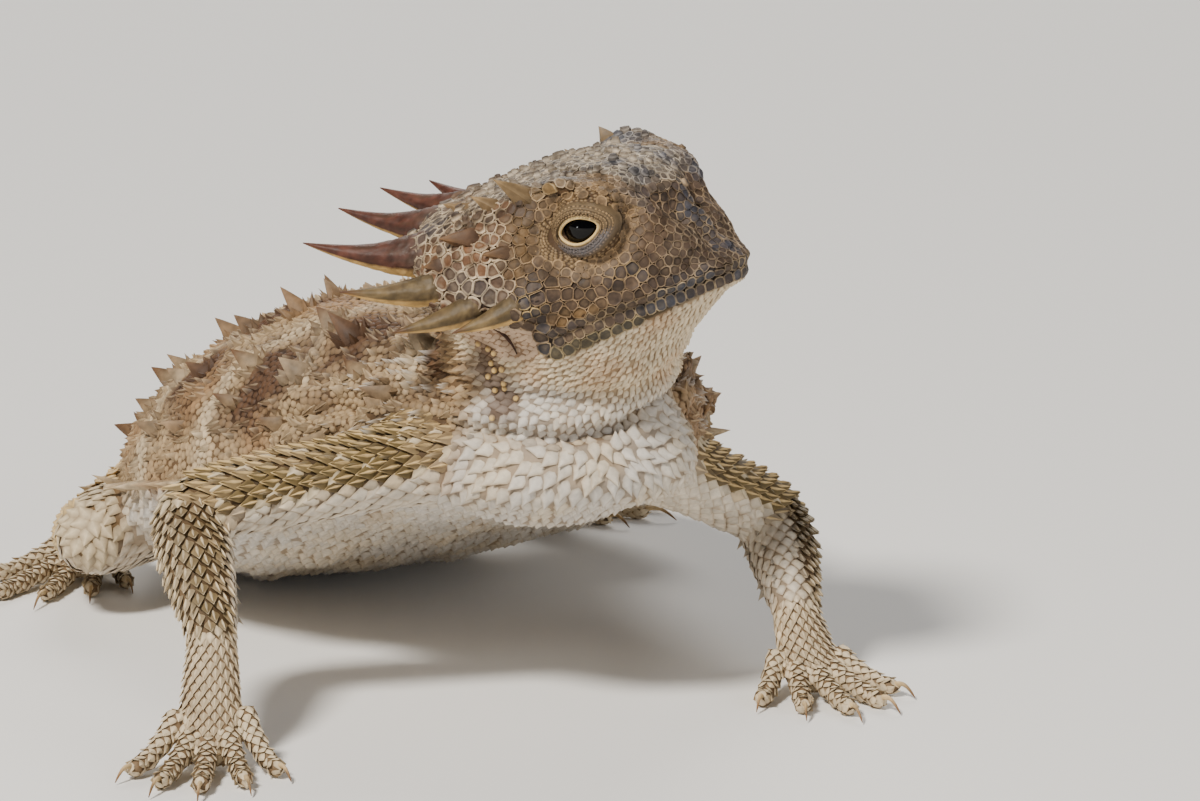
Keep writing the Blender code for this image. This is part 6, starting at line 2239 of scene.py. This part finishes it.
            # The beads' feet are painted far darker than their tops: painted shade between the beads
            sites.low, sites.high = tone * 0.4, tone * (1.0 if row % 2 else 1.25)
            sites.shape(size * 1.2, size * 0.9, 0.07)
            batches.append(copies(dome_form(), sites.part(sites.distance < 1.2), 0.0015))
        return batches


class LIZARD_OT_stage(bpy.types.Operator):
    """Set the pale floor, the soft lights and the camera"""

    bl_idname = "lizard.stage"
    bl_label = "Stage"

    def execute(self, context):
        self.floor(context)
        self.lights(context)
        self.camera(context)
        return {"FINISHED"}

    def floor(self, context):
        """A wide floor that curves up far behind the animal."""
        across = np.linspace(-FLOOR_HALF_WIDTH, FLOOR_HALF_WIDTH, 3)
        bend = np.linspace(0.1, math.pi / 2, 16)
        ahead = np.concatenate([np.linspace(FLOOR_START, CURVE_START, 12),
                                CURVE_START + CURVE_RADIUS * np.sin(bend), [CURVE_START + CURVE_RADIUS]])
        height = np.concatenate([np.zeros(12), CURVE_RADIUS * (1 - np.cos(bend)), [WALL_HEIGHT]])
        sine, cosine = math.sin(math.radians(CAMERA_TURN)), math.cos(math.radians(CAMERA_TURN))
        x, y = np.meshgrid(across, ahead)
        points = np.stack([x * cosine - y * sine, x * sine + y * cosine,
                           np.broadcast_to(height[:, None], x.shape)], axis=-1)
        points[..., 2] -= FLOOR_DROP
        rows, columns = x.shape
        corner = np.arange(rows * columns).reshape(rows, columns)
        a, b, c, d = corner[:-1, :-1], corner[:-1, 1:], corner[1:, 1:], corner[1:, :-1]
        triangles = np.concatenate([np.stack([a, b, c], axis=-1), np.stack([a, c, d], axis=-1)])
        mesh = new_mesh("studio_floor", points.reshape(-1, 3), triangles.reshape(-1, 3))
        material = bpy.data.materials.new("studio_floor")
        material.use_nodes = True
        shader = material.node_tree.nodes["Principled BSDF"]
        shader.inputs["Base Color"].default_value = (*context.scene.lizard_colours.floor, 1.0)
        shader.inputs["Roughness"].default_value = FLOOR_ROUGHNESS
        mesh.materials.append(material)
        mesh.shade_smooth()
        floor = bpy.data.objects.new("studio_floor", mesh)
        context.scene.collection.objects.link(floor)

    def lights(self, context):
        """A key and a small catch light on the right, a fill from the left front and a rim from behind."""
        for name, (place, size, power, colour) in LIGHTS.items():
            light = bpy.data.lights.new(name, "AREA")
            light.shape = "DISK"
            light.size = size
            light.energy = power
            light.color = colour
            holder = bpy.data.objects.new(name, light)
            holder.location = place
            holder.rotation_euler = (Vector(LIGHT_TARGET) - Vector(place)).to_track_quat("-Z", "Y").to_euler()
            context.scene.collection.objects.link(holder)
        world = bpy.data.worlds.new("studio")
        world.use_nodes = True
        world.node_tree.nodes["Background"].inputs["Color"].default_value = SKY_COLOUR
        world.node_tree.nodes["Background"].inputs["Strength"].default_value = SKY_STRENGTH
        context.scene.world = world

    def camera(self, context):
        """The photograph's view: a long lens from the animal's right front, a little above it."""
        azimuth, elevation = math.radians(CAMERA_TURN), math.radians(CAMERA_HEIGHT)
        level = math.cos(elevation)
        toward = Vector((math.sin(azimuth) * level, -math.cos(azimuth) * level, math.sin(elevation)))
        right = Vector((0.0, 0.0, 1.0)).cross(toward).normalized()
        up = toward.cross(right)
        data = bpy.data.cameras.new("camera")
        data.sensor_width = 36.0
        data.lens = CAMERA_LENS
        data.clip_start = 0.01
        data.clip_end = 20.0
        camera = bpy.data.objects.new("camera", data)
        aim = Vector(HEAD_CENTRE) * MM - right * CAMERA_SHIFT[0] - up * CAMERA_SHIFT[1]
        axes = Matrix((right, up, toward)).transposed()
        camera.matrix_world = Matrix.Translation(aim + toward * CAMERA_DISTANCE) @ axes.to_4x4()
        context.scene.collection.objects.link(camera)
        context.scene.camera = camera


class LIZARD_PT_panel(bpy.types.Panel):
    """Shows the lizard's sizes, colours and steps in the sidebar"""

    bl_idname = "LIZARD_PT_panel"
    bl_label = "Regal Horned Lizard"
    bl_space_type = "VIEW_3D"
    bl_region_type = "UI"
    bl_category = "Lizard"

    def draw(self, context):
        for group in (context.scene.lizard_sizes, context.scene.lizard_colours):
            for name in group.__annotations__:
                self.layout.prop(group, name)
        for step in STEPS:
            self.layout.operator(step.bl_idname)


STEPS = (
    LIZARD_OT_stage,
    LIZARD_OT_skin,
    LIZARD_OT_body_scales,
    LIZARD_OT_limb_scales,
    LIZARD_OT_head_plates,
    LIZARD_OT_spines,
    LIZARD_OT_horns,
    LIZARD_OT_claws,
    LIZARD_OT_eyes,
)
CLASSES = (LizardSizes, LizardColours, *STEPS, LIZARD_PT_panel)


def register():
    """Adds the classes and the settings to Blender."""
    for item in CLASSES:
        bpy.utils.register_class(item)
    bpy.types.Scene.lizard_sizes = PointerProperty(type=LizardSizes)
    bpy.types.Scene.lizard_colours = PointerProperty(type=LizardColours)


def unregister():
    """Takes them out again."""
    del bpy.types.Scene.lizard_colours
    del bpy.types.Scene.lizard_sizes
    for item in reversed(CLASSES):
        bpy.utils.unregister_class(item)


def main():
    """Makes every piece in order."""
    register()
    bpy.ops.lizard.stage()
    bpy.ops.lizard.skin()
    bpy.ops.lizard.body_scales()
    bpy.ops.lizard.limb_scales()
    bpy.ops.lizard.head_plates()
    bpy.ops.lizard.spines()
    bpy.ops.lizard.horns()
    bpy.ops.lizard.claws()
    bpy.ops.lizard.eyes()
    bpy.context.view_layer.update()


if __name__ == "__main__":
    main()
